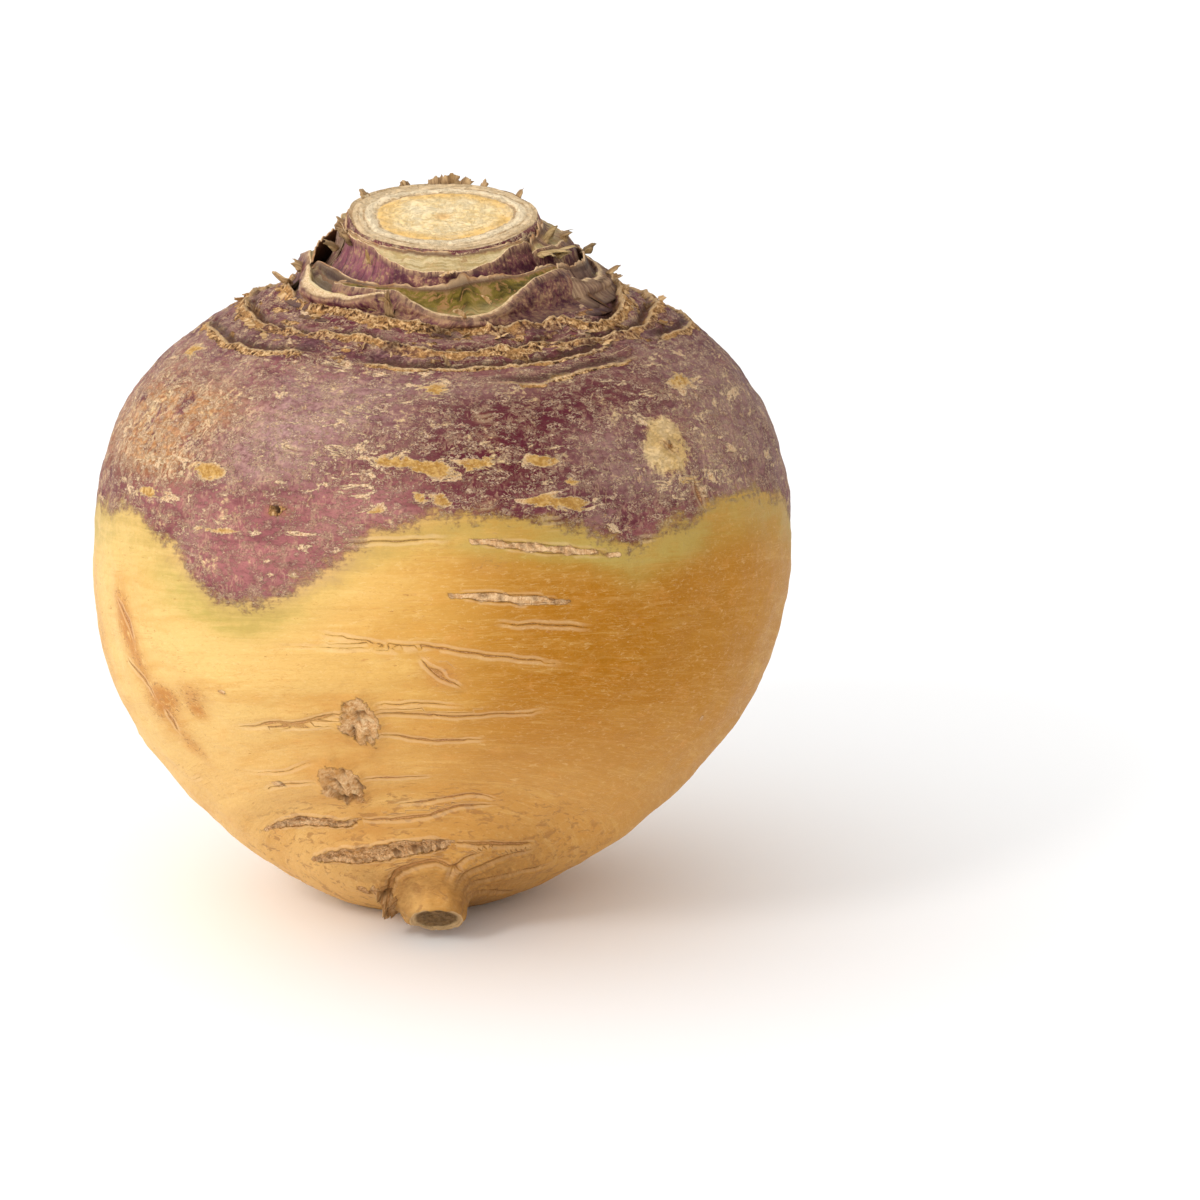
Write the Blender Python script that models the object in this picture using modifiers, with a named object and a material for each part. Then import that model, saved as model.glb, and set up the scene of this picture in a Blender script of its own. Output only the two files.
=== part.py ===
"""Rutabaga: a whole root with its taproot stub and trimmed neck, and the stubs of the leaf stalks that wrap the neck.

Metres, +Z up. The origin is the middle of the small flat spot on which the root rests, and -Y is the front, towards which the taproot points.
The root is a turned shape that is then bent: every ring stays flat and is set square to a curved spine, which runs from the taproot up to the neck.
Lengths below are in millimetres, like a drawing, and MM turns them into metres."""

import math

import bmesh
import bpy
import numpy as np

MM = 0.001

# Driving dimensions, mm.
SPINE_LENGTH = 114.8  # from the foot of the taproot to the trimmed top of the neck
NECK_TOP_R = 16.0  # radius of the flat cut across the neck
STUB_LENGTH = 8.6  # trimmed taproot, along its own axis
STUB_R = 4.0  # its radius at the cut end
FOOT_Y, FOOT_Z = -16.0, 11.0  # foot of the taproot; what its height leaves under the ground is pressed flat
GAP = 0.35  # clearance between a leaf base and what it wraps
SEGMENTS = 64
LEAF_STEPS = 14

# Outline of the turned shape: distance along the spine, and radius. The widest ring makes the root 120.6 across.
OUTLINE = [
    (-8.6, 3.7), (-8.2, STUB_R), (-7.0, 4.3), (-5.4, 4.7), (-4.2, 5.6), (-3.2, 7.8), (-2.2, 11.4), (-1.0, 15.4),
    (0.0, 18.0), (3.0, 24.2), (7.0, 32.3), (12.0, 38.7), (18.0, 45.2), (26.0, 51.7), (35.0, 56.5), (45.0, 59.1),
    (55.0, 60.3), (65.0, 59.7), (75.0, 57.5), (85.0, 52.6), (93.0, 45.2), (97.0, 38.9), (99.0, 34.6), (101.0, 29.6),
    (102.5, 25.6), (104.0, 22.2), (106.0, 19.8), (108.0, 18.3), (110.0, 17.3), (112.0, 16.6), (114.4, 16.2), (114.8, NECK_TOP_R),
]
# Lean of the rings, in degrees, along the spine: below zero the taproot side swings to the front.
LEAN = [(-12.0, -41.0), (0.0, -41.0), (10.0, -30.0), (20.0, -24.0), (35.0, -17.0), (62.0, -9.0), (95.0, -3.0), (115.0, 4.7)]
# Sideways run of the spine, +X to the right.
SIDEWAYS = [(-12.0, -1.6), (-5.0, -1.8), (0.0, -4.3), (7.0, -2.9), (35.0, -1.0), (62.0, 0.0), (75.0, 0.2), (90.0, 0.6), (100.0, 1.4), (105.0, 1.4), (114.0, 0.5)]

# Leaf bases: name, middle of its arc (degrees from the front, + to the right), half its arc, foot, height of the cut at the neck side,
# thickness in the middle, slope of the cut, and layer: 0 lies on the neck, 1 wraps layer 0.
LEAF_BASES = [
    ("leaf_base_1", -12.0, 62.0, 105.0, 114.3, 4.6, 0.62, 0),
    ("leaf_base_2", 95.0, 40.0, 105.0, 113.8, 4.2, 0.40, 0),
    ("leaf_base_3", -147.0, 58.0, 105.0, 113.9, 4.2, 0.35, 0),
    ("leaf_base_4", 15.0, 45.0, 101.9, 109.8, 6.2, 0.74, 1),
    ("leaf_base_5", -66.0, 29.0, 101.9, 109.4, 4.6, 0.60, 1),
    ("leaf_base_6", 87.0, 21.0, 101.9, 109.8, 4.8, 0.55, 1),
    ("leaf_base_7", 145.0, 32.0, 101.9, 109.4, 5.4, 0.70, 1),
    ("leaf_base_8", -141.0, 39.0, 101.9, 109.4, 5.4, 0.70, 1),
]


def curve_through(knots):
    """A smooth curve through the knots that never overshoots them (monotone cubic)."""
    x = np.array([k[0] for k in knots], float)
    y = np.array([k[1] for k in knots], float)
    h, d = np.diff(x), np.diff(y) / np.diff(x)
    m = np.zeros(len(x))
    m[0], m[-1] = d[0], d[-1]
    for i in range(1, len(x) - 1):
        if d[i - 1] * d[i] > 0:
            a, b = 2 * h[i] + h[i - 1], h[i] + 2 * h[i - 1]
            m[i] = (a + b) / (a / d[i - 1] + b / d[i])

    def at(t):
        i = int(np.clip(np.searchsorted(x, t) - 1, 0, len(h) - 1))
        s = (t - x[i]) / h[i]
        return float(
            y[i] * (1 + 2 * s) * (1 - s) ** 2 + h[i] * m[i] * s * (1 - s) ** 2
            + y[i + 1] * s * s * (3 - 2 * s) + h[i] * m[i + 1] * s * s * (s - 1)
        )

    return at


radius_at = curve_through(OUTLINE)
lean_at = curve_through(LEAN)
sideways_at = curve_through(SIDEWAYS)

# The spine, stepped upwards and downwards from the foot of the taproot.
STEP = 0.25
_spine = {0: (FOOT_Y, FOOT_Z)}
for n in range(int(SPINE_LENGTH / STEP) + 4):
    y, z = _spine[n]
    a = math.radians(lean_at((n + 0.5) * STEP))
    _spine[n + 1] = (y - math.sin(a) * STEP, z + math.cos(a) * STEP)
for n in range(0, -int(STUB_LENGTH / STEP) - 4, -1):
    y, z = _spine[n]
    a = math.radians(lean_at((n - 0.5) * STEP))
    _spine[n - 1] = (y + math.sin(a) * STEP, z - math.cos(a) * STEP)


def spine_at(t):
    n = math.floor(t / STEP)
    f = t / STEP - n
    (y0, z0), (y1, z1) = _spine[n], _spine[n + 1]
    return y0 + (y1 - y0) * f, z0 + (z1 - z0) * f


def lumps(angle, t):
    """Slow swellings and hollows of a grown root, as a factor on the radius. angle is 0 at +X and counts anticlockwise."""
    body = math.sin(math.pi * min(max(t / 104.0, 0.0), 1.0)) ** 0.7
    side = math.sin(angle)
    return 1.0 + body * (
        0.012 * side * math.sin(2.0 * angle + 0.5 + t * 0.02)
        + 0.008 * side * math.sin(3.0 * angle - t * 0.035)
        + 0.005 * math.sin(5.0 * angle + 0.045 * t)
        - 0.010 * math.exp(-((math.degrees(angle) % 360 - 258.0) / 16.0) ** 2)
    )


def bend(angle, r, t):
    """A point of the turned shape, at that angle, radius and distance along the spine, set on the curved spine. In metres, from the rest spot."""
    y, z = spine_at(t)
    a = math.radians(lean_at(t))
    across, deep = r * math.cos(angle), r * math.sin(angle)
    return (
        (sideways_at(t) + across) * MM,
        (y + deep * math.cos(a)) * MM,
        (z + deep * math.sin(a)) * MM,
    )


def material(name, colour, roughness):
    m = bpy.data.materials.new(name)
    m.use_nodes = True
    shader = m.node_tree.nodes["Principled BSDF"]
    shader.inputs["Base Color"].default_value = (*colour, 1.0)
    shader.inputs["Roughness"].default_value = roughness
    shader.inputs["Metallic"].default_value = 0.0
    return m


def shade(mesh):
    mesh.shade_smooth()
    mesh.set_sharp_from_angle(angle=math.radians(50))


def clear_scene():
    for obj in list(bpy.data.objects):
        bpy.data.objects.remove(obj, do_unlink=True)


def heights():
    """Where the rings of the root go, from the neck's cut down to the taproot's cut: closer together where the outline turns quickly."""
    up = [SPINE_LENGTH, 114.4, 112.6, 110.6, 108.6, 106.8, 105.2, 103.8, 102.5, 101.2, 99.8, 98.2, 96.2, 93.6]
    up += [90.4 - 3.3 * k for k in range(26)]
    up += [5.6, 3.6, 1.8, 0.4, -0.7, -1.6, -2.4, -3.1, -3.8, -4.6, -5.8, -7.2, -8.2, -STUB_LENGTH]
    return up


def root(collection):
    """The swollen root, its neck and its taproot: an upright turned shape first, then bent."""
    outline = [(0.0, SPINE_LENGTH)] + [(radius_at(t), t) for t in heights()] + [(0.0, -STUB_LENGTH)]
    mesh = bpy.data.meshes.new("outline")
    mesh.from_pydata([(r * MM, 0.0, t * MM) for r, t in outline], [(i, i + 1) for i in range(len(outline) - 1)], [])
    turned = bpy.data.objects.new("turned", mesh)
    collection.objects.link(turned)
    screw = turned.modifiers.new("turn", "SCREW")
    screw.axis = "Z"
    screw.angle = 2 * math.pi
    screw.steps = screw.render_steps = SEGMENTS
    screw.use_merge_vertices = True
    screw.merge_threshold = 0.00002
    bpy.context.view_layer.update()
    solid = bpy.data.meshes.new_from_object(turned.evaluated_get(bpy.context.evaluated_depsgraph_get()))
    bpy.data.objects.remove(turned, do_unlink=True)

    shape = bmesh.new()
    shape.from_mesh(solid)
    bmesh.ops.remove_doubles(shape, verts=shape.verts, dist=0.00002)
    for v in shape.verts:
        t = v.co.z / MM
        r = math.hypot(v.co.x, v.co.y) / MM
        angle = math.atan2(v.co.y, v.co.x)
        v.co = bend(angle, r * lumps(angle, t), t)
    # The rest spot: what would reach below the ground is pressed flat.
    for v in shape.verts:
        if v.co.z < 0.0:
            v.co.z = 0.0
    bmesh.ops.recalc_face_normals(shape, faces=shape.faces)
    shape.to_mesh(solid)
    shape.free()
    shade(solid)
    solid.materials.append(material("root_skin", (0.62, 0.36, 0.12), 0.55))
    obj = bpy.data.objects.new("root", solid)
    collection.objects.link(obj)
    return obj


def layer_inside(layer, t):
    """Radius of the inner side of a leaf base: on the neck, or round the layer below it."""
    neck = radius_at(min(t, SPINE_LENGTH)) + GAP
    if layer == 0:
        return neck
    return max(neck, 24.8 + 0.56 * (105.0 - t))


def leaf_base(collection, name, middle, half, foot, top, thick, slope, layer, paint):
    """A trimmed leaf stalk: a crescent that wraps part of the neck, thick in the middle and thin at its two wings, cut off by a slanting knife cut."""
    shape = bmesh.new()
    sections = []
    for i in range(LEAF_STEPS + 1):
        share = 2.0 * i / LEAF_STEPS - 1.0
        angle = math.radians(middle - 90.0 + share * half)
        full = math.cos(math.pi / 2 * share * 0.985) ** 0.75
        # A wing's cut stays as high as the neck side, and the thick middle is cut lower.
        wide = 0.5 + (thick - 0.5) * full
        if layer == 0:
            wide = min(wide, 3.9)
        high = top - 0.6 * full
        low = high - slope * wide
        foot_wide = 0.7 * wide if layer == 0 else 0.92 * wide
        levels = [foot + (high - foot) * k / 3.0 for k in range(4)]
        ring = [(layer_inside(layer, t), t) for t in levels]
        ring += [(layer_inside(layer, low) + wide, low), (layer_inside(layer, (low + foot) / 2) + (wide + foot_wide) / 2 + 0.1, (low + foot) / 2), (layer_inside(layer, foot) + foot_wide, foot)]
        sections.append([shape.verts.new(bend(angle, r, t)) for r, t in ring])
    n = len(sections[0])
    for a, b in zip(sections, sections[1:]):
        for k in range(n):
            shape.faces.new((a[k], a[(k + 1) % n], b[(k + 1) % n], b[k]))
    shape.faces.new(sections[0][::-1])
    shape.faces.new(sections[-1])
    bmesh.ops.triangulate(shape, faces=shape.faces)
    bmesh.ops.recalc_face_normals(shape, faces=shape.faces)
    mesh = bpy.data.meshes.new(name)
    shape.to_mesh(mesh)
    shape.free()
    shade(mesh)
    mesh.materials.append(paint)
    obj = bpy.data.objects.new(name, mesh)
    collection.objects.link(obj)
    return obj


def centre_on_rest_spot(objects):
    """Shifts every mesh so that the origin is the middle of the flat spot under the root."""
    spot = [v.co for v in objects[0].data.vertices if v.co.z < 1e-9]
    x = (min(p.x for p in spot) + max(p.x for p in spot)) / 2
    y = (min(p.y for p in spot) + max(p.y for p in spot)) / 2
    for obj in objects:
        for v in obj.data.vertices:
            v.co.x -= x
            v.co.y -= y
    print("rest spot centre, mm:", round(x / MM, 3), round(y / MM, 3), "size", [round((max(p[k] for p in spot) - min(p[k] for p in spot)) / MM, 1) for k in (0, 1)])


clear_scene()
rutabaga = bpy.data.collections.new("rutabaga")
bpy.context.scene.collection.children.link(rutabaga)
skin = material("leaf_base_skin", (0.22, 0.07, 0.12), 0.6)
pieces = [root(rutabaga)]
pieces += [leaf_base(rutabaga, *row, skin) for row in LEAF_BASES]
centre_on_rest_spot(pieces)
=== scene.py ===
"""The looks of a whole rutabaga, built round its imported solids: skin, corky rings and scars, trimmed leaf stalks, dried flakes, light and camera."""

import math

import bpy
import numpy as np
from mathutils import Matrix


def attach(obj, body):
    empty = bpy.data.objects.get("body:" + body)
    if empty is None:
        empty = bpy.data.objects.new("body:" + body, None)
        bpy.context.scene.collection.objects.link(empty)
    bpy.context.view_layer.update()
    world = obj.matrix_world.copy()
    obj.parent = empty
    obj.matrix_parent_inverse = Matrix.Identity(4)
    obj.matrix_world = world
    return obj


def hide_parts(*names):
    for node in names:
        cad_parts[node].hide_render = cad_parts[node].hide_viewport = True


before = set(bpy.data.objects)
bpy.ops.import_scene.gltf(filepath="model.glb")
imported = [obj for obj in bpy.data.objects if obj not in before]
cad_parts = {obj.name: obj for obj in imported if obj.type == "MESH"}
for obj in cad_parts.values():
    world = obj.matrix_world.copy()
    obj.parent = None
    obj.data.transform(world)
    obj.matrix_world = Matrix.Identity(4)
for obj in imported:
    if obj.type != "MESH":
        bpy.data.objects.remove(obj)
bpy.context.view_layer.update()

MM = 0.001
rad = math.radians

# ---------------------------------------------------------------- the grown shape, as in the CAD: rings square to a curved spine, in mm

SPINE_LENGTH = 114.8
STUB_LENGTH = 8.6
FOOT_Y, FOOT_Z = -16.0, 11.0
REST_X, REST_Y = -3.6, 6.4
OUTLINE = [
    (-8.6, 3.7), (-8.2, 4.0), (-7.0, 4.3), (-5.4, 4.7), (-4.2, 5.6), (-3.2, 7.8), (-2.2, 11.4), (-1.0, 15.4),
    (0.0, 18.0), (3.0, 24.2), (7.0, 32.3), (12.0, 38.7), (18.0, 45.2), (26.0, 51.7), (35.0, 56.5), (45.0, 59.1),
    (55.0, 60.3), (65.0, 59.7), (75.0, 57.5), (85.0, 52.6), (93.0, 45.2), (97.0, 38.9), (99.0, 34.6), (101.0, 29.6),
    (102.5, 25.6), (104.0, 22.2), (106.0, 19.8), (108.0, 18.3), (110.0, 17.3), (112.0, 16.6), (114.4, 16.2), (114.8, 16.0),
]
LEAN = [(-12.0, -41.0), (0.0, -41.0), (10.0, -30.0), (20.0, -24.0), (35.0, -17.0), (62.0, -9.0), (95.0, -3.0), (115.0, 4.7)]
SIDEWAYS = [(-12.0, -1.6), (-5.0, -1.8), (0.0, -4.3), (7.0, -2.9), (35.0, -1.0), (62.0, 0.0), (75.0, 0.2), (90.0, 0.6), (100.0, 1.4), (105.0, 1.4), (114.0, 0.5)]


def curve(knots):
    x = np.array([k[0] for k in knots], float)
    y = np.array([k[1] for k in knots], float)
    h = np.diff(x)
    d = np.diff(y) / h
    m = np.zeros(len(x))
    m[0], m[-1] = d[0], d[-1]
    for i in range(1, len(x) - 1):
        if d[i - 1] * d[i] > 0:
            a, b = 2 * h[i] + h[i - 1], h[i] + 2 * h[i - 1]
            m[i] = (a + b) / (a / d[i - 1] + b / d[i])

    def at(t):
        t = np.asarray(t, float)
        i = np.clip(np.searchsorted(x, t) - 1, 0, len(h) - 1)
        s = (t - x[i]) / h[i]
        return y[i] * (1 + 2 * s) * (1 - s) ** 2 + h[i] * m[i] * s * (1 - s) ** 2 + y[i + 1] * s * s * (3 - 2 * s) + h[i] * m[i + 1] * s * s * (s - 1)

    return at


radius_at, lean_at, sideways_at = curve(OUTLINE), curve(LEAN), curve(SIDEWAYS)
STEP = 0.25
_up, _down = [(FOOT_Y, FOOT_Z)], [(FOOT_Y, FOOT_Z)]
for n in range(int(SPINE_LENGTH / STEP) + 40):
    a = rad(float(lean_at(min((n + 0.5) * STEP, 115.0))))
    _up.append((_up[-1][0] - math.sin(a) * STEP, _up[-1][1] + math.cos(a) * STEP))
for n in range(0, -int(STUB_LENGTH / STEP) - 8, -1):
    a = rad(float(lean_at((n - 0.5) * STEP)))
    _down.append((_down[-1][0] + math.sin(a) * STEP, _down[-1][1] - math.cos(a) * STEP))
SPINE_T = np.arange(-(len(_down) - 1), len(_up)) * STEP
SPINE_Y = np.array([p[0] for p in _down[:0:-1] + _up])
SPINE_Z = np.array([p[1] for p in _down[:0:-1] + _up])


def smooth(x, lo, hi):
    s = np.clip((np.asarray(x, float) - lo) / (hi - lo), 0, 1)
    return s * s * (3 - 2 * s)


def bend(front, r, t):
    """Points in mm. front is the angle in degrees from the front, + to the right."""
    front, r, t = np.broadcast_arrays(np.asarray(front, float), np.asarray(r, float), np.asarray(t, float))
    angle = np.radians(front - 90.0)
    # The neck was trimmed a little lower at the front than at the back.
    t = t - smooth(t, 105.0, 114.0) * (0.6 - 0.095 * np.minimum(r, 17.0) * np.sin(angle))
    a = np.radians(lean_at(np.minimum(t, 115.0)))
    y, z = np.interp(t, SPINE_T, SPINE_Y), np.interp(t, SPINE_T, SPINE_Z)
    across, deep = r * np.cos(angle), r * np.sin(angle)
    return np.stack([sideways_at(np.minimum(t, 114.0)) + across - REST_X, y + deep * np.cos(a) - REST_Y, z + deep * np.sin(a)], -1)


def lumps(front, t):
    angle = np.radians(front - 90.0)
    body = np.sin(np.pi * np.clip(t / 104.0, 0, 1)) ** 0.7
    side = np.sin(angle)
    turn = np.degrees(angle) % 360 - 258.0
    return 1 + body * (
        0.012 * side * np.sin(2 * angle + 0.5 + t * 0.02)
        + 0.008 * side * np.sin(3 * angle - t * 0.035)
        + 0.005 * np.sin(5 * angle + 0.045 * t)
        - 0.010 * np.exp(-((turn / 16.0) ** 2))
    )


# ---------------------------------------------------------------- noise, the same on every run


def _hash(ix, iy, iz, seed):
    n = (ix * 374761393 + iy * 668265263 + iz * 1440662683 + seed * 1274126177) & 0xFFFFFFFF
    n = ((n ^ (n >> 13)) * 1274126177) & 0xFFFFFFFF
    n = ((n ^ (n >> 15)) * 2246822519) & 0xFFFFFFFF
    return n ^ (n >> 16)


def noise(p, seed=0):
    """Gradient noise, about -1 to 1, at points p of shape (..., 3)."""
    p = np.asarray(p, float)
    i = np.floor(p).astype(np.int64)
    f = p - i
    w = f * f * f * (f * (f * 6 - 15) + 10)
    total = 0.0
    for dx in (0, 1):
        for dy in (0, 1):
            for dz in (0, 1):
                h = _hash(i[..., 0] + dx, i[..., 1] + dy, i[..., 2] + dz, seed)
                g = (
                    ((h & 1023) / 511.5 - 1) * (f[..., 0] - dx)
                    + (((h >> 10) & 1023) / 511.5 - 1) * (f[..., 1] - dy)
                    + (((h >> 20) & 1023) / 511.5 - 1) * (f[..., 2] - dz)
                )
                total = total + g * (w[..., 0] if dx else 1 - w[..., 0]) * (w[..., 1] if dy else 1 - w[..., 1]) * (w[..., 2] if dz else 1 - w[..., 2])
    return total * 1.9


def fbm(p, octaves=4, seed=0, gain=0.5):
    total, amp = 0.0, 1.0
    for k in range(octaves):
        total = total + amp * noise(np.asarray(p) * 2.03**k, seed + 17 * k)
        amp *= gain
    return total


def ridges(p, octaves=3, seed=0):
    total, amp = 0.0, 1.0
    for k in range(octaves):
        total = total + amp * (1 - np.minimum(np.abs(noise(np.asarray(p) * 2.07**k, seed + 31 * k)) * 1.6, 1))
        amp *= 0.5
    return total / 1.75


def cells(p, seed=0):
    """Distance to the nearest and second nearest scattered point."""
    p = np.asarray(p, float)
    i = np.floor(p).astype(np.int64)
    one = np.full(p.shape[:-1], 9.0)
    two = np.full(p.shape[:-1], 9.0)
    for dx in (-1, 0, 1):
        for dy in (-1, 0, 1):
            for dz in (-1, 0, 1):
                cx, cy, cz = i[..., 0] + dx, i[..., 1] + dy, i[..., 2] + dz
                h = _hash(cx, cy, cz, seed)
                d = np.sqrt(
                    (cx + (h & 1023) / 1023.0 - p[..., 0]) ** 2 + (cy + ((h >> 10) & 1023) / 1023.0 - p[..., 1]) ** 2 + (cz + ((h >> 20) & 1023) / 1023.0 - p[..., 2]) ** 2
                )
                two = np.minimum(two, np.maximum(one, d))
                one = np.minimum(one, d)
    return one, two


def bump(x, width):
    return np.exp(-((np.asarray(x, float) / width) ** 2))


def wrap(degrees):
    return (np.asarray(degrees, float) + 180.0) % 360.0 - 180.0


# ---------------------------------------------------------------- mesh helpers


def normals_of(points, faces):
    out = np.zeros_like(points)
    for tri in ([faces] if faces.shape[1] == 3 else [faces[:, [0, 1, 2]], faces[:, [0, 2, 3]]]):
        n = np.cross(points[tri[:, 1]] - points[tri[:, 0]], points[tri[:, 2]] - points[tri[:, 0]])
        for k in range(3):
            np.add.at(out, tri[:, k], n)
    return out / np.maximum(np.linalg.norm(out, axis=1, keepdims=True), 1e-12)


def make(name, points_mm, faces, material, fields=None, grown=None):
    mesh = bpy.data.meshes.new(name)
    mesh.from_pydata((points_mm * MM).tolist(), [], faces)
    mesh.validate()
    mesh.update()
    for key, values in (fields or {}).items():
        layer = mesh.attributes.new(key, "FLOAT", "POINT")
        layer.data.foreach_set("value", np.asarray(values, np.float32))
    if grown is not None:
        layer = mesh.attributes.new("grown", "FLOAT_VECTOR", "POINT")
        layer.data.foreach_set("vector", np.asarray(grown, np.float32).ravel())
    mesh.shade_smooth()
    mesh.materials.append(material)
    obj = bpy.data.objects.new(name, mesh)
    bpy.context.scene.collection.objects.link(obj)
    return obj


# ---------------------------------------------------------------- material helpers


class Nodes:
    def __init__(self, name):
        self.m = bpy.data.materials.new(name)
        self.m.use_nodes = True
        self.t = self.m.node_tree
        self.shader = self.t.nodes["Principled BSDF"]
        self.shader.inputs["Metallic"].default_value = 0.0

    def put(self, socket, value):
        if isinstance(value, bpy.types.NodeSocket):
            self.t.links.new(value, socket)
        elif isinstance(value, (tuple, list)) and len(value) == 3 and socket.type == "RGBA":
            socket.default_value = (*value, 1.0)
        else:
            socket.default_value = value

    def attribute(self, name, vector=False):
        n = self.t.nodes.new("ShaderNodeAttribute")
        n.attribute_name = name
        return n.outputs["Vector" if vector else "Fac"]

    def scaled(self, coords, scale, shift=(0.0, 0.0, 0.0)):
        n = self.t.nodes.new("ShaderNodeMapping")
        self.put(n.inputs["Vector"], coords)
        n.inputs["Scale"].default_value = scale
        n.inputs["Location"].default_value = shift
        return n.outputs["Vector"]

    def noise(self, coords, scale=1.0, detail=4.0, rough=0.55, distort=0.0, kind="FBM"):
        n = self.t.nodes.new("ShaderNodeTexNoise")
        n.noise_type = kind
        self.put(n.inputs["Vector"], coords)
        n.inputs["Scale"].default_value = scale
        n.inputs["Detail"].default_value = detail
        n.inputs["Roughness"].default_value = rough
        n.inputs["Distortion"].default_value = distort
        return n.outputs["Fac"]

    def cells(self, coords, scale=1.0, feature="F1", jitter=1.0):
        n = self.t.nodes.new("ShaderNodeTexVoronoi")
        n.feature = feature
        self.put(n.inputs["Vector"], coords)
        n.inputs["Scale"].default_value = scale
        n.inputs["Randomness"].default_value = jitter
        return n.outputs["Distance"]

    def math(self, op, a, b=0.0, clamp=False):
        n = self.t.nodes.new("ShaderNodeMath")
        n.operation = op
        n.use_clamp = clamp
        self.put(n.inputs[0], a)
        self.put(n.inputs[1], b)
        return n.outputs[0]

    def step(self, value, lo, hi, out_lo=0.0, out_hi=1.0):
        n = self.t.nodes.new("ShaderNodeMapRange")
        n.interpolation_type = "SMOOTHSTEP"
        self.put(n.inputs["Value"], value)
        n.inputs["From Min"].default_value = lo
        n.inputs["From Max"].default_value = hi
        n.inputs["To Min"].default_value = out_lo
        n.inputs["To Max"].default_value = out_hi
        return n.outputs["Result"]

    def mix(self, fac, a, b, blend="MIX"):
        n = self.t.nodes.new("ShaderNodeMix")
        n.data_type = "RGBA"
        n.blend_type = blend
        self.put(n.inputs["Factor"], fac)
        self.put(n.inputs[6], a)
        self.put(n.inputs[7], b)
        return n.outputs[2]

    def bump(self, height, strength, distance, normal=None):
        n = self.t.nodes.new("ShaderNodeBump")
        n.inputs["Strength"].default_value = strength
        n.inputs["Distance"].default_value = distance
        self.put(n.inputs["Height"], height)
        if normal is not None:
            self.put(n.inputs["Normal"], normal)
        return n.outputs["Normal"]

    def finish(self, colour, roughness, normal=None):
        self.put(self.shader.inputs["Base Color"], colour)
        self.put(self.shader.inputs["Roughness"], roughness)
        if normal is not None:
            self.put(self.shader.inputs["Normal"], normal)
        return self.m

# ---------------------------------------------------------------- the root's surface: rings from the neck's cut down to the taproot's cut


def column_angles(count):
    """Column angles, in degrees from the front: closer together at the front and at the back, where the scars are."""
    a = np.linspace(-180, 180, 7201)
    weight = 1 + 0.9 * bump(a, 48.0) + 0.35 * bump(wrap(a - 168), 40.0)
    total = np.concatenate([[0], np.cumsum((weight[1:] + weight[:-1]) / 2)])
    return np.interp(np.arange(count) / count * total[-1], total, a)


COLUMNS = 640
ALL_ANGLES = column_angles(COLUMNS)


def rows():
    """(distance along the spine, share of the radius, columns) of each ring, from the top's middle to the bottom's middle."""
    out = [(SPINE_LENGTH, x, c) for x, c in [(0.025, 40), (0.06, 80), (0.11, 80), (0.16, 160), (0.21, 160), (0.27, 160), (0.33, 320)]]
    out += [(SPINE_LENGTH, x, 320) for x in (0.38, 0.43, 0.48, 0.53, 0.58, 0.625, 0.66, 0.69, 0.72, 0.755, 0.79, 0.825, 0.86, 0.89, 0.92, 0.945, 0.965, 0.98, 0.992, 1.0)]
    fine = np.linspace(-STUB_LENGTH, SPINE_LENGTH, 12000)
    length = np.concatenate([[0], np.cumsum(np.hypot(np.diff(fine), np.diff(radius_at(fine))))])

    def stretch(high, low, step, cols):
        a, b = np.interp([high, low], fine, length)
        count = max(int(round((a - b) / step)), 1)
        return [(float(np.interp(a + (b - a) * k / count, length, fine)), 1.0, cols) for k in range(1, count + 1)]

    out += stretch(SPINE_LENGTH, 104.6, 0.75, 320) + stretch(104.6, 92.5, 0.46, 640) + stretch(92.5, 5.0, 0.98, 320)
    out += stretch(5.0, -4.0, 0.62, 320) + stretch(-4.0, -8.3, 0.5, 160) + stretch(-8.3, -STUB_LENGTH, 0.25, 160)
    out += [(-STUB_LENGTH, x, c) for x, c in [(0.9, 160), (0.8, 160), (0.68, 160), (0.54, 80), (0.4, 80), (0.25, 40), (0.1, 20)]]
    return out


def grid():
    """Points' angle, spine distance and share of the radius, and the faces, of the whole root as one closed surface."""
    rings = rows()
    angle, t, share, starts = [], [], [], []
    for ring_t, x, cols in rings:
        starts.append(sum(len(a) for a in angle))
        angle.append(ALL_ANGLES[:: COLUMNS // cols])
        t.append(np.full(cols, ring_t))
        share.append(np.full(cols, x))
    angle, t, share = np.concatenate(angle), np.concatenate(t), np.concatenate(share)
    top, bottom = len(angle), len(angle) + 1
    angle, t, share = np.append(angle, [0, 0]), np.append(t, [SPINE_LENGTH, -STUB_LENGTH]), np.append(share, [0, 0])
    tris = []
    for k in range(len(rings) - 1):
        n, m, a, b = rings[k][2], rings[k + 1][2], starts[k], starts[k + 1]
        if n == m:
            i = np.arange(n)
            j = (i + 1) % n
            tris += [np.stack([a + i, b + i, b + j], 1), np.stack([a + i, b + j, a + j], 1)]
        elif m == 2 * n:
            i = np.arange(n)
            j = (i + 1) % n
            tris += [np.stack([a + i, b + 2 * i, b + 2 * i + 1], 1), np.stack([a + i, b + 2 * i + 1, a + j], 1), np.stack([a + j, b + 2 * i + 1, b + 2 * j], 1)]
        else:
            i = np.arange(m)
            j = (i + 1) % m
            tris += [np.stack([a + 2 * i, b + i, a + 2 * i + 1], 1), np.stack([a + 2 * i + 1, b + i, b + j], 1), np.stack([a + 2 * i + 1, b + j, a + 2 * j], 1)]
    n = rings[0][2]
    i = np.arange(n)
    tris.append(np.stack([np.full(n, top), i, (i + 1) % n], 1))
    n, a = rings[-1][2], starts[-1]
    i = np.arange(n)
    tris.append(np.stack([np.full(n, bottom), a + (i + 1) % n, a + i], 1))
    return angle, t, share, np.concatenate(tris)


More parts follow.
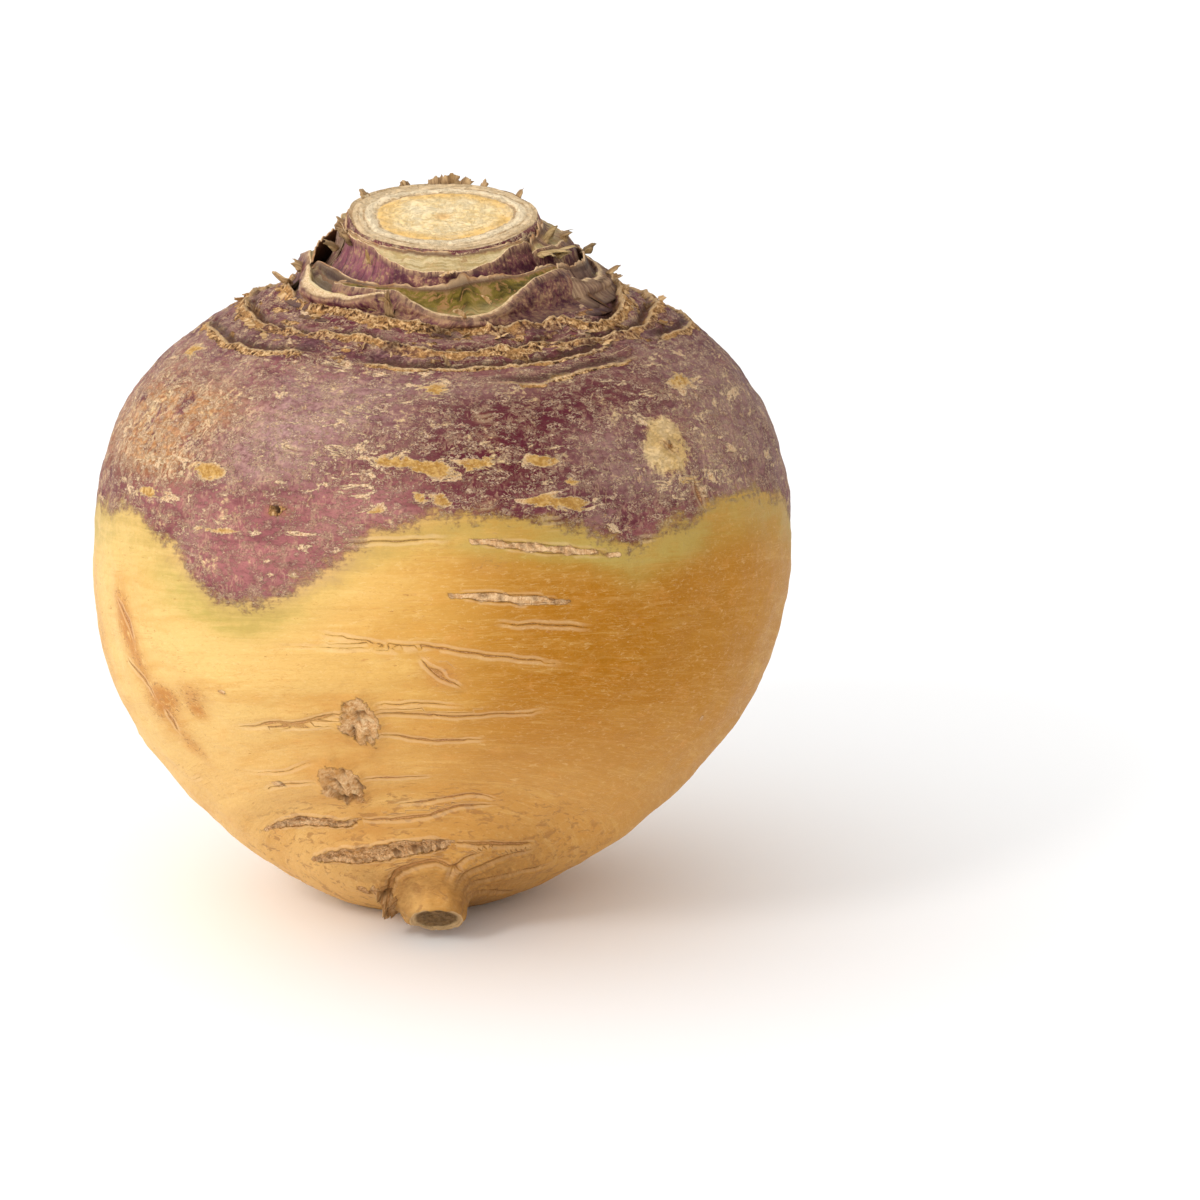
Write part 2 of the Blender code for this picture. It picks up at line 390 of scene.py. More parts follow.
A, T, SHARE, TRIS = grid()
R = radius_at(T) * SHARE
SIDE = (SHARE >= 1.0).astype(float)
_fine = np.linspace(-STUB_LENGTH, SPINE_LENGTH, 12000)
_run = np.concatenate([[0], np.cumsum(np.hypot(np.diff(_fine), np.diff(radius_at(_fine))))])
_run = _run[-1] - _run


def run_of(t):
    """Length of skin from the edge of the neck's cut down to t, in mm."""
    return np.interp(t, _fine, _run)


S = np.where(T >= SPINE_LENGTH, -(1 - SHARE) * 16.0, np.where(T <= -STUB_LENGTH, _run[0] + (1 - SHARE) * 3.7, run_of(T)))
_turn = np.radians(A - 90.0)
G = np.stack([R * np.cos(_turn), R * np.sin(_turn), S], -1)
BASE = bend(A, R * lumps(A, T), T)
NORMAL = normals_of(BASE, TRIS)

body = smooth(T, -3.5, 4) * SIDE
shoulder = smooth(T, 88, 99) * SIDE


def ring_curve(knots):
    """A closed curve through (angle, value) knots, going round the root."""
    k = sorted(knots)
    full = [(a - 360, v) for a, v in k[-3:]] + k + [(a + 360, v) for a, v in k[:3]]
    return curve(full)


# Where the purple shoulders end, by angle from the front.
PURPLE_EDGE = ring_curve([(-168, 57), (-145, 61), (-122, 66), (-100, 64), (-79, 65.5), (-62, 66.5), (-54, 64.5), (-48, 60.5), (-42, 55.5), (-37, 50.5), (-31, 49.5), (-24, 53), (-18, 58.5), (-12, 64.5), (-6, 68), (1, 69.5), (11, 68.3), (20, 67), (27, 64), (32, 61.3), (38, 64), (46, 67), (56, 69.5), (74, 66), (92, 60), (110, 63), (128, 68), (150, 62)])
purple_sd = np.where(SIDE > 0, T - PURPLE_EDGE(A), 20.0)

D = np.zeros(len(A))
D += body * (0.50 * fbm(G / 24.0, 3, 1) + 0.16 * fbm(G / 7.0, 3, 2))
# Creases that run round the root.
crease = smooth(ridges(G * [1 / 26.0, 1 / 26.0, 1 / 3.4], 3, 5), 0.70, 0.97) * smooth(noise(G / 17.0, 7), -0.15, 0.35)
D -= 0.20 * body * crease
D += body * smooth(purple_sd, -2, 4) * (0.10 * fbm(G * [1 / 3.2, 1 / 3.2, 1 / 1.5], 3, 8) - 0.10 * smooth(ridges(G * [1 / 14.0, 1 / 14.0, 1 / 2.2], 2, 11), 0.75, 0.98))

cork = np.zeros(len(A))
# Painted shade for the pits, holes and crevices under the scars' lips.
pit_shade = np.zeros(len(A))
fibre = noise(np.stack([A * 0.9, S * 0.28, np.zeros_like(A)], -1), 21) + 0.6 * noise(np.stack([A * 2.1, S * 0.45, np.zeros_like(A)], -1), 22)
ring_d = np.full(len(A), 9.0)
ring_w = np.zeros(len(A))


def leaf_scar(knots, lip, band, first, last, seed, crevice=0.5):
    """The rim of an old leaf scar: a ragged lip that stands free on the neck's side, with a fibrous corky band below it."""
    global D, cork, pit_shade, ring_d, ring_w
    at = ring_curve(knots) if last - first >= 360 else curve(knots)
    if last - first >= 360:
        fade, a = np.ones(len(A)), A
    else:
        middle = (first + last) / 2
        a = middle + wrap(A - middle)
        fade = smooth(a, first, first + 12) * (1 - smooth(a, last - 12, last))
    line = run_of(at(np.clip(a, first, last) if last - first < 360 else a))
    p = np.stack([np.cos(np.radians(a)) * 9, np.sin(np.radians(a)) * 9, np.full(len(A), seed * 3.7)], -1)
    line = line + 0.60 * noise(p * 0.6, seed) + 0.32 * noise(p * 1.8, seed + 1) + 0.10 * noise(p * 5.0, seed + 2)
    d = S - line
    height = lip * (0.75 + 0.60 * noise(p * 0.9, seed + 3) + 0.16 * noise(p * 3.5, seed + 4)) * fade
    rise = smooth(d, -0.45, 0.15)
    wide = band * (1 + 0.45 * noise(p * 1.1, seed + 5))
    near = (d > -4) & (d < band * 3) & (SIDE > 0)
    D = D + near * (height * rise * np.exp(-np.maximum(d, 0) / (wide * 0.8)) - crevice * fade * bump(d + 0.75, 0.75) * (1 + 0.6 * noise(p * 1.5, seed + 6)))
    inside = near * fade * rise * (1 - smooth(d, wide * 0.7, wide * 1.35))
    D = D + 0.15 * inside * fibre + 0.04 * inside * noise(G / 0.9, seed + 7)
    cork = np.maximum(cork, inside)
    pit_shade = np.maximum(pit_shade, near * fade * bump(d + 0.95, 0.85) * 1.0)
    closer = near & (np.abs(d) < np.abs(ring_d)) & (fade > 0.05)
    ring_d = np.where(closer, d, ring_d)
    ring_w = np.where(closer, fade * (1 - smooth(np.abs(d), 1.5, 3.0)), ring_w)


# The two rings of old scars under the cut leaf stalks, and broken ones further down.
RING_A = [(-150, 101.9), (-110, 102.0), (-71, 101.8), (-42, 101.7), (-17, 100.8), (3, 100.5), (14, 100.1), (31, 100.4), (46, 99.4), (60, 100.0), (90, 101.5), (130, 101.6), (170, 102.2)]
leaf_scar(RING_A, 2.0, 2.1, -180, 180, 31, 0.8)
leaf_scar([(-100, 99.2), (-75, 98.9), (-46, 98.5), (-30, 98.8), (-20, 98.6), (-8, 97.5), (0, 97.2), (14, 97.6), (30, 98.4)], 1.35, 1.9, -104, 36, 41, 0.9)
leaf_scar([(28, 98.0), (50, 97.7), (75, 98.7), (100, 98.9), (125, 98.3), (150, 99.0)], 1.2, 1.8, 22, 156, 51, 0.8)
leaf_scar([(140, 98.6), (170, 98.0), (200, 98.5), (230, 99.0), (262, 98.8)], 1.2, 2.8, 136, 264, 61, 0.8)
leaf_scar([(-95, 96.2), (-70, 96.0), (-50, 95.8), (-35, 96.2)], 0.8, 1.5, -98, -30, 71, 0.5)
leaf_scar([(-22, 95.4), (0, 94.9), (25, 95.6), (46, 96.6)], 0.60, 1.0, -25, 48, 81, 0.5)
leaf_scar([(8, 92.4), (22, 92.7), (34, 93.6), (48, 94.6)], 0.35, 0.9, 6, 50, 85, 0.2)
leaf_scar([(60, 96.4), (85, 95.8), (112, 96.5)], 0.7, 2.0, 56, 116, 91, 0.4)
leaf_scar([(150, 95.8), (180, 95.2), (215, 96.2)], 0.6, 2.0, 146, 220, 101, 0.4)
inner_d = S - run_of(ring_curve(RING_A)(A))
# Dark purple above the upper ring and in the crevices between rings: partly the skin's own purple, partly painted
# shade.
plum_and_crevice_shade = SIDE * smooth(-inner_d, 0.2, 1.0) * (1 - smooth(T, 104.6, 106.0))
ragged = SIDE * smooth(T, 92.5, 98.0) * (1 - smooth(T, 101.5, 103))
D += ragged * (0.24 * fbm(G / 4.0, 3, 23) + 0.05 * noise(G / 0.8, 24))
cork = np.maximum(cork, ragged * smooth(fbm(G / [5.0, 5.0, 2.6], 3, 25) + 0.1 * bump(T - 99.5, 1.6), 0.30, 0.58) * 0.85)

# ---- scars, cracks and knots, drawn on the skin as curves

crack_sd = np.full(len(A), 9.0)
crack_w = np.zeros(len(A))
brown = np.zeros(len(A))
knotty = np.zeros(len(A))
shadow = np.zeros(len(A))


def on_skin(pairs):
    a = np.array([p[0] for p in pairs], float)
    t = np.array([p[1] for p in pairs], float)
    return bend(a, radius_at(t) * lumps(a, t), t)


def smooth_line(points, per=10):
    p = np.concatenate([[2 * points[0] - points[1]], points, [2 * points[-1] - points[-2]]])
    out = []
    for k in range(1, len(p) - 2):
        for u in np.arange(per) / per:
            out.append(0.5 * ((2 * p[k]) + (p[k + 1] - p[k - 1]) * u + (2 * p[k - 1] - 5 * p[k] + 4 * p[k + 1] - p[k + 2]) * u * u + (3 * p[k] - p[k - 1] - 3 * p[k + 1] + p[k + 2]) * u**3))
    return np.array(out + [p[-2]])


def to_line(line, reach):
    """For the points within reach of a line: (their indices, signed distance, share of the way along)."""
    low, high = line.min(0) - reach, line.max(0) + reach
    index = np.nonzero(((BASE > low) & (BASE < high)).all(1) & (SIDE > 0))[0]
    p, n = BASE[index], NORMAL[index]
    best = np.full(len(index), 1e9)
    sign, along = np.ones(len(index)), np.zeros(len(index))
    for k in range(len(line) - 1):
        a, d = line[k], line[k + 1] - line[k]
        u = np.clip(((p - a) @ d) / max(d @ d, 1e-9), 0, 1)
        off = p - a - u[:, None] * d
        dist = np.linalg.norm(off, axis=1)
        nearer = dist < best
        best = np.where(nearer, dist, best)
        side = np.sign((np.cross(d, off) * n).sum(1))
        sign = np.where(nearer, np.where(side == 0, 1, side), sign)
        along = np.where(nearer, (k + u) / (len(line) - 1), along)
    keep = best < reach
    return index[keep], best[keep] * sign[keep], along[keep]


def crack(pairs, width=0.5, depth=0.3, lips=0.12, seed=0, stain=0.5, wander=0.35):
    """A thin scar line, deepest in its middle, with faint lips and a stain."""
    line = smooth_line(on_skin(pairs))
    jitter = np.stack([noise(line / 3.0 + seed * 7.3, seed + k) for k in range(3)], -1)
    line = line + wander * jitter
    index, sd, u = to_line(line, 4.0)
    taper = np.sin(np.pi * np.clip(u, 0.02, 0.98)) ** 0.6 * (1 + 0.4 * noise(np.stack([u * 14, u * 0 + seed, u * 0], -1), seed))
    d = np.abs(sd)
    D[index] += taper * (-0.6 * depth * bump(sd, 0.5 + 0.6 * width) + 1.2 * lips * bump(d - 1.0 - width, 0.6))
    closer = d < np.abs(crack_sd[index])
    crack_sd[index] = np.where(closer, sd, crack_sd[index])
    crack_w[index] = np.where(closer, width * taper * (1 - smooth(d, 1.6, 3.2)), crack_w[index])
    brown[index] = np.maximum(brown[index], stain * taper * bump(sd, 1.0 + width))


def lens(pairs, width, seed, raise_by=0.35, dig=0.5, power=0.7):
    """A corky scar shaped like a lens: rough and pitted inside, with raised lips."""
    line = smooth_line(on_skin(pairs))
    index, sd, u = to_line(line, width * 2.4 + 1.5)
    edge = width * np.sin(np.pi * np.clip(u, 0.015, 0.985)) ** power * (1 + 0.30 * noise(BASE[index] / 2.2, seed))
    x = np.abs(sd) / np.maximum(edge, 0.15)
    full = smooth(edge, 0.1, width * 0.6)
    inside = 1 - smooth(x, 0.8, 1.12)
    one, two = cells(BASE[index] / 1.5, seed + 3)
    rough = 0.7 * noise(BASE[index] / 1.1, seed + 1) + 0.5 * noise(BASE[index] / 0.55, seed + 2)
    D[index] += full * (raise_by * bump(x - 1.0, 0.35) - dig * inside * (0.35 + 0.5 * rough) - 0.5 * dig * inside * (one < 0.33))
    cork[index] = np.maximum(cork[index], inside)
    pit_shade[index] = np.maximum(pit_shade[index], inside * np.maximum(smooth(-rough, 0.12, 0.5), 1.0 * (one < 0.28)) * 0.85)
    brown[index] = np.maximum(brown[index], 0.8 * full * bump(x - 1.15, 0.5))
    closer = np.abs(np.abs(sd) - edge) < np.abs(crack_sd[index])
    crack_sd[index] = np.where(closer, np.abs(sd) - edge, crack_sd[index])
    crack_w[index] = np.where(closer, 0.16 * full * (1 - smooth(np.abs(x - 1), 0.6, 1.2)), crack_w[index])


def knot(front, t, wide, tall, seed, hole=0.0, rise=0.7, hole_at=-0.25):
    """The stump of a side root: a ragged corky swelling with upright ribs, and perhaps a hole."""
    middle = on_skin([(front, t)])[0]
    up = on_skin([(front, t + 1.5)])[0] - on_skin([(front, t - 1.5)])[0]
    up /= np.linalg.norm(up)
    index = np.nonzero((np.linalg.norm(BASE - middle, axis=1) < 2.4 * max(wide, tall)) & (SIDE > 0))[0]
    off = BASE[index] - middle
    y = off @ up
    across = np.cross(up, NORMAL[index])
    x = (off * across).sum(1)
    reach = np.sqrt((x / wide) ** 2 + (y / tall) ** 2) * (1 + 0.24 * noise(BASE[index] / 2.4, seed) + 0.12 * noise(BASE[index] / 1.0, seed + 9))
    inside = 1 - smooth(reach, 0.72, 1.12)
    ribs = noise(np.stack([x / 1.15, y / 4.0, 0 * x + seed], -1), seed + 1)
    rough = noise(BASE[index] / 1.0, seed + 2)
    D[index] += rise * (0.55 * bump(reach - 0.85, 0.3) + inside * (0.10 + 1.0 * ribs + 0.5 * rough)) + 0.35 * rise * bump(reach, 1.8)
    cork[index] = np.maximum(cork[index], inside * (0.85 + 0.2 * ribs + 0.2 * rough))
    knotty[index] = np.maximum(knotty[index], inside)
    pit_shade[index] = np.maximum(pit_shade[index], inside * smooth(-ribs - 0.4 * rough, 0.22, 0.6) * 0.8)
    brown[index] = np.maximum(brown[index], 0.62 * bump(reach - 0.95, 0.40))
    if hole:
        d = np.sqrt(x**2 + ((y - hole_at * tall) * 1.15) ** 2) / hole * (1 + 0.2 * noise(BASE[index] / 1.2, seed + 5))
        D[index] -= 1.4 * (1 - smooth(d, 0.5, 1.1)) - 0.5 * bump(d - 1.25, 0.3)
        pit_shade[index] = np.maximum(pit_shade[index], 1 - smooth(d, 0.7, 1.05))
        shadow[index] = np.maximum(shadow[index], 1 - smooth(d, 0.45, 0.95))


# The furrow of side-root scars down the front.
knot(-14.5, 21.6, 3.5, 5.8, 5, 0.0, 1.0)
knot(-24.5, 8.6, 3.6, 6.2, 8, 1.35, 0.95, -0.62)
crack([(-42, 22.2), (-34, 22.2), (-27, 22.2), (-21, 23.4), (-17, 24.4)], 0.42, 0.45, 0.28, 1, 0.7)
crack([(-33, 20.6), (-26, 21.4), (-20, 21.0)], 0.22, 0.22, 0.12, 2, 0.4)
crack([(-12, 23.6), (-6.5, 23.0), (8, 22.4), (22, 23.8)], 0.26, 0.3, 0.2, 3, 0.5)
crack([(-13, 19.0), (-3, 16.7), (4, 16.6), (11, 17.2)], 0.34, 0.4, 0.22, 4, 0.7)
crack([(-12, 25.6), (-4, 25.8), (6, 25.4)], 0.18, 0.2, 0.12, 7, 0.3)
crack([(-30, 9.6), (-40, 10.4), (-50, 10.0)], 0.2, 0.22, 0.15, 9, 0.4)
crack([(-19, 8.8), (-9, 8.2), (2, 8.3)], 0.3, 0.25, 0.2, 10, 0.6)
knot(-42.0, 10.6, 1.1, 0.9, 29, 0.0, 0.25)
lens([(-74, 5.2), (-60, 4.2), (-48, 3.3), (-36, 2.0), (-27, 2.1)], 1.25, 11, 0.35, 0.5)
crack([(-32, 2.3), (-14, 1.4), (2, 1.6), (16, 3.0), (29, 3.6)], 0.38, 0.4, 0.28, 12, 0.6)
crack([(-12, 3.0), (3, 3.6), (17, 4.6), (27, 4.3)], 0.30, 0.35, 0.2, 13, 0.6)
lens([(-76, 0.4), (-60, -0.5), (-44, -1.2), (-20, -1.4), (4, -1.2), (20, -0.8)], 2.0, 15, 0.5, 0.8, 0.55)
crack([(16, -0.9), (38, -0.5), (56, 0.4), (66, 1.4)], 0.42, 0.4, 0.35, 16, 0.7)
crack([(-11, 41.6), (-2, 40.2), (10, 37.7), (21, 35.6)], 0.24, 0.22, 0.18, 17, 0.5)
crack([(-20, 44.0), (-11, 41.6), (-6, 39.2)], 0.20, 0.2, 0.15, 18, 0.4)
crack([(-30, 41.0), (-14, 40.2), (0, 39.4)], 0.12, 0.12, 0.15, 52, 0.2)
crack([(-3, 37.5), (0, 33.5), (4.5, 29.5)], 0.32, 0.15, 0.0, 19, 0.8)
crack([(-1, 35.0), (1.5, 32.0)], 0.5, 0.15, 0.0, 53, 0.8)
lens([(1, 52.6), (6, 52.3), (13.5, 51.4), (20, 50.6)], 0.70, 20, 0.16, 0.10)
lens([(2, 65.0), (9, 63.6), (16, 62.4), (22, 61.4), (30, 60.0)], 0.62, 23, 0.18, 0.12)
crack([(-17, 63.4), (-8, 64.4), (2, 65.1)], 0.2, 0.2, 0.25, 54, 0.3)
crack([(8, 46.2), (16, 45.3), (25, 44.4)], 0.20, 0.18, 0.12, 24, 0.3)
crack([(-64, 49.6), (-61.5, 45.8), (-60.5, 41.9)], 0.5, 0.22, 0.1, 25, 0.7)
crack([(-66, 38.0), (-62, 34.0), (-61, 29.5)], 0.4, 0.2, 0.1, 26, 0.7)
crack([(-60, 27.2), (-60.5, 23.0)], 0.4, 0.2, 0.1, 27, 0.7)
knot(-39.5, 30.7, 0.9, 0.8, 28, 0.0, 0.2)
crack([(-52, 14.0), (-38, 12.6), (-28, 13.6)], 0.14, 0.12, 0.12, 33, 0.2)
# The pale round scar on the right shoulder, and a small eye on the left.
crack([(40.4, 80.8), (41.6, 79.3), (42.6, 78.0)], 0.3, 0.3, 0.1, 35, 0.9, 0.1)
crack([(42.0, 79.6), (42.9, 79.9)], 0.25, 0.2, 0.1, 37, 0.8, 0.1)
knot(41.4, 79.4, 0.7, 1.1, 39, 0.0, 0.3)
knot(-27.0, 69.9, 1.5, 0.9, 36, 0.5, 0.3, 0.0)
crack([(46, 73.5), (46.5, 70.5), (47, 68.0)], 0.5, 0.3, 0.2, 38, 0.8)
# The second furrow, down the back.
knot(166, 27.0, 2.4, 3.6, 43, 0.0, 0.8)
knot(169, 19.0, 2.6, 2.8, 44, 1.2, 0.8)
lens([(140, 23.0), (150, 22.0), (160, 22.8)], 1.0, 45, 0.25, 0.45)
crack([(171, 25.0), (184, 24.0), (198, 25.5)], 0.40, 0.4, 0.25, 46, 0.7)
lens([(150, 11.0), (165, 9.6), (182, 10.2), (198, 12.0)], 1.5, 47, 0.3, 0.5)
crack([(146, 33.5), (160, 32.2), (174, 33.0)], 0.26, 0.25, 0.15, 48, 0.5)
crack([(176, 41.0), (190, 39.6), (204, 40.8)], 0.24, 0.22, 0.15, 49, 0.45)
knot(171, 36.5, 1.4, 1.6, 50, 0.0, 0.4)
# Short scars scattered over the rest.
_dice = np.random.default_rng(7)
for n in range(60):
    a0, t0 = _dice.uniform(-180, 180), _dice.uniform(9, 91)
    half = _dice.uniform(1.2, 4.5) / max(float(radius_at(t0)), 20) * 57.3
    wide = _dice.uniform(0.10, 0.22) * (0.75 if t0 > 60 else 1.0)
    rise = _dice.uniform(-0.5, 0.5)
    if abs(a0) < 70 and t0 < 60:
        continue
    crack([(a0 - half, t0 - rise), (a0, t0 - 0.35), (a0 + half, t0 + rise)], wide, 0.14, 0.08, 200 + n, _dice.uniform(0.1, 0.35))
for n in range(12):
    a0 = _dice.uniform(-180, 180)
    if abs(a0) > 60:
        knot(a0, _dice.uniform(12, 60), _dice.uniform(0.5, 0.9), _dice.uniform(0.4, 0.8), 300 + n, 0.0, 0.12)
# Round the foot of the taproot: a crevice over it, a hole and a crusty knob beside it, and folds that fan out from it.
crack([(34, -2.7), (4, -2.5), (-35, -2.9), (-70, -3.5), (-100, -4.2)], 0.65, 1.1, 0.25, 120, 1.0, 0.2)
knot(-76, -3.3, 1.9, 1.6, 121, 0.9, 0.9, 0.1)
knot(-104, -3.9, 2.2, 1.6, 122, 0.0, 1.5)
knot(-92, -2.4, 1.8, 1.2, 128, 0.0, 0.8)
for f0, t0, wide, tall in ((-95, -4.2, 2.4, 1.8), (-112, -3.4, 2.2, 1.3), (-82, -3.0, 1.8, 0.9)):
    away = np.linalg.norm(BASE - on_skin([(f0, t0)])[0], axis=1)
    index = np.nonzero((away < 2.6 * wide) & (SIDE > 0))[0]
    mound = np.exp(-((away[index] / wide) ** 2)) * (1 + 0.22 * noise(BASE[index] / 1.5, 150 - f0))
    D[index] += tall * mound
    cork[index] = np.maximum(cork[index], smooth(mound, 0.30, 0.60))
    knotty[index] = np.maximum(knotty[index], smooth(mound, 0.30, 0.60))
crack([(34, -4.9), (46, -2.6), (60, -0.8), (72, 1.6)], 0.26, 0.5, 0.4, 123, 0.5, 0.2)
crack([(58, -5.4), (72, -2.8), (86, -0.6), (96, 2.2)], 0.26, 0.5, 0.4, 124, 0.6, 0.2)
crack([(84, -5.0), (104, -2.4), (122, 0.5)], 0.3, 0.6, 0.4, 125, 0.7, 0.2)
crack([(18, -4.4), (30, -2.2), (44, -0.9)], 0.22, 0.4, 0.25, 126, 0.5, 0.2)
crack([(150, -4.8), (175, -2.6), (200, 0.0)], 0.3, 0.4, 0.3, 127, 0.6, 0.2)
shadow = np.maximum(shadow, 0.9 * SIDE * bump(wrap(A + 2), 4.0) * bump(T - 99.9, 0.7))
shadow = np.maximum(shadow, 0.8 * SIDE * bump(wrap(A + 14), 2.0) * bump(T - 97.6, 0.5))
stub = SIDE * (1 - smooth(T, -4.5, -2.0))
D += stub * (0.30 + 0.42 * np.sin(np.radians(3 * A + 40)) * 0.5 - 0.30 * smooth(ridges(np.stack([A / 34.0, T * 0.06, T * 0 + 2.0], -1), 2, 134), 0.78, 0.96) + 0.34 * noise(np.stack([A / 24.0, T * 0 + 3.3, T * 0.12], -1), 130) + 0.16 * noise(G / 1.6, 131) - 0.18 * smooth(ridges(np.stack([A / 40.0 + T * 0.10, T * 0.25, T * 0], -1), 2, 132), 0.75, 0.98))

# The cut across the neck, with its rings, and the cut across the taproot.
top = (T >= SPINE_LENGTH) & (SHARE < 1)
r_top = np.where(T >= SPINE_LENGTH, R, 40.0)
wobble = 0.5 * np.sin(np.radians(2 * A + 40)) + 0.35 * np.sin(np.radians(3 * A - 20)) + 0.35 * noise(np.stack([np.cos(np.radians(A)) * 2.2, np.sin(np.radians(A)) * 2.2, A * 0], -1), 140)
ring_r = r_top + wobble * smooth(r_top, 3, 9)
fan = noise(np.stack([np.cos(_turn) * 9, np.sin(_turn) * 9, R / 5.0], -1), 141) + 0.5 * noise(np.stack([np.cos(_turn) * 22, np.sin(_turn) * 22, R / 3.0], -1), 142)
on_top = top.astype(float)
D += on_top * (0.06 * fan * smooth(ring_r, 1, 4) + 0.06 * fbm(G / 2.2, 3, 143) - 0.16 * bump(ring_r - 11.4, 0.35) - 0.14 * bump(ring_r - 13.6, 0.3) + 0.18 * bump(ring_r - 12.5, 0.8) - 0.25 * bump(r_top, 1.4))
D -= on_top * 0.25 * smooth(r_top, 15.2, 16.0)
end = (T <= -STUB_LENGTH) & (SHARE < 1)
r_end = np.where(T <= -STUB_LENGTH, R, 40.0)
D += end * (0.12 * fbm(G / 1.2, 3, 145) - 0.35 * (1 - smooth(r_end, 2.3, 3.2)) + 0.10 * bump(r_end - 1.4, 0.4))

swell = SIDE * (1 - smooth(T, -4.6, -2.4)) + np.where(T <= -STUB_LENGTH, SHARE, 0.0) * (1 - SIDE)
POINTS = BASE + NORMAL * D[:, None] + (bend(A, 1.0, T) - bend(A, 0.0, T)) * (0.75 * swell)[:, None]
# The neck's side and the edge of the cut wander a little, all by the same shift, so that the cut isn't a true circle.
neck = smooth(T, 105, 110) * np.where(T >= SPINE_LENGTH, SHARE, 1.0)
out_way = bend(A, 1.0, T) - bend(A, 0.0, T)
POINTS += out_way * (neck * (0.35 * np.sin(np.radians(3 * A + 70)) + 0.25 * np.sin(np.radians(5 * A)) + 0.25 * noise(np.stack([np.cos(_turn) * 3, np.sin(_turn) * 3, A * 0], -1), 146)))[:, None]
POINTS[:, 2] = np.maximum(POINTS[:, 2], 0.0)

# How far each point lies below its surroundings; the colour is darkened in the hollows.
_edges = np.concatenate([TRIS[:, [0, 1]], TRIS[:, [1, 2]], TRIS[:, [2, 0]]])
_count = np.maximum(np.bincount(_edges[:, 0], minlength=len(D)), 1)
_soft = D.copy()
for _ in range(6):
    _soft = 0.4 * _soft + 0.6 * np.bincount(_edges[:, 0], weights=_soft[_edges[:, 1]], minlength=len(D)) / _count
hollow = np.clip((_soft - D) / 0.35, -1, 1)

# Slow changes of colour over the shoulders.
def spot(front, t, wide, tall):
    return np.exp(-((wrap(A - front) / wide) ** 2) - ((T - t) / tall) ** 2)


rust = np.clip(1.0 * spot(-66, 83, 12, 6) + 0.8 * spot(-50, 86, 11, 4) + 0.9 * spot(-56, 77, 12, 4) + 0.2 * spot(-76, 92, 8, 4) + 0.45 * spot(150, 80, 22, 9) + 0.45 * spot(-84, 78, 12, 8), 0, 1)
dark = np.clip(1.4 * spot(6, 85, 18, 7) + 1.1 * spot(26, 90, 24, 4) + 0.8 * spot(14, 76, 18, 4) + 0.5 * spot(-66, 92, 14, 3) + 0.6 * spot(-56, 72, 16, 2.5) + 0.7 * spot(120, 84, 26, 8) + 0.7 * spot(-150, 86, 24, 8), 0, 1)
grey = np.clip(0.5 * spot(-70, 93, 14, 3.5) + 1.0 * spot(-24, 87, 20, 5) + 0.95 * spot(-31, 79, 13, 5) + 0.7 * spot(0, 92, 26, 2) + 0.85 * spot(30, 80, 8, 5) + 0.8 * spot(58, 84, 16, 12) + 0.7 * spot(40, 74, 14, 4) + 0.8 * spot(80, 80, 20, 12) + 0.7 * spot(-120, 80, 26, 10) + 0.6 * spot(180, 82, 26, 8), 0, 1)
pink = np.clip(0.7 * spot(-48, 70, 18, 4) + 1.0 * spot(-30, 60, 16, 9) + 0.8 * spot(-12, 72, 12, 5) + 0.6 * spot(140, 68, 30, 6) + 0.5 * spot(-110, 68, 20, 5), 0, 1)
pale = np.clip(1.1 * np.exp(-((np.hypot(wrap(A - 41.5) * 0.98, (T - 79.4) * 1.0) / 5.4) ** 4)) + 0.8 * np.exp(-((np.hypot(wrap(A + 160) * 0.9, (T - 76)) / 3.6) ** 4)), 0, 1)
green = np.clip(bump(purple_sd + 4.0, 5.0) * (0.35 + 0.7 * spot(-38, 48, 14, 6) + 0.8 * spot(26, 62, 22, 5) + 0.4 * spot(-80, 62, 20, 8) + 0.4 * spot(110, 60, 30, 7)) + 0.8 * spot(-88, 74, 10, 9) + 0.9 * spot(-40, 50, 10, 4) + 0.45 * spot(-48, 54, 10, 4), 0, 1)
patch = 0.85 * np.clip(1.0 * spot(-1, 77.8, 5.0, 1.3) + 0.9 * spot(7, 79.0, 3.6, 1.3) + 0.9 * spot(16.5, 79.2, 3.2, 1.4) + 1.1 * spot(15.5, 71.7, 2.6, 1.3) + 1.1 * spot(20.8, 70.8, 2.8, 1.5) + 0.8 * spot(20.5, 74.8, 3.0, 1.0) + 0.9 * spot(0, 72.4, 1.5, 1.2) + 0.8 * spot(-4, 73.0, 1.8, 1.4) + 0.9 * spot(-7.5, 79.4, 5.0, 1.0) + 0.7 * spot(-2.5, 91.5, 4.0, 1.4) + 0.8 * spot(24, 92.8, 3.0, 0.6) + 0.9 * spot(-42.5, 75.5, 4.5, 1.6) + 0.8 * spot(-10.5, 70.3, 1.6, 0.8) + 0.9 * spot(-38, 64.9, 6.0, 0.5) + 0.7 * spot(-56, 70.5, 5.0, 1.5) + 0.7 * spot(-72.5, 93.0, 4.0, 2.0) + 0.6 * spot(45, 73.0, 6.0, 1.2) + 0.6 * spot(53, 90.0, 6.0, 2.0), 0, 1)
scab = np.clip(1.3 * spot(-63, 46, 2.6, 6) + 1.0 * spot(-57, 30, 3.0, 2.2) + 0.9 * spot(-50, 26, 2.2, 2.0) + 0.8 * spot(-61, 38, 2.5, 6) + 0.9 * spot(-60, 28, 5.0, 3.5) + 0.7 * spot(-48, 30, 4.0, 3.0) + 0.6 * spot(-60, 20, 2.5, 4) + 0.8 * spot(1, 33, 3.0, 3.5) + 0.5 * spot(-80, 45, 5, 14) + 0.5 * spot(7, 60, 4, 3) + 0.7 * spot(150, 40, 6, 8) + 0.6 * spot(-140, 30, 6, 8) + 0.6 * spot(100, 36, 5, 8), 0, 1)
low = (1 - smooth(T, 2, 34)) * SIDE
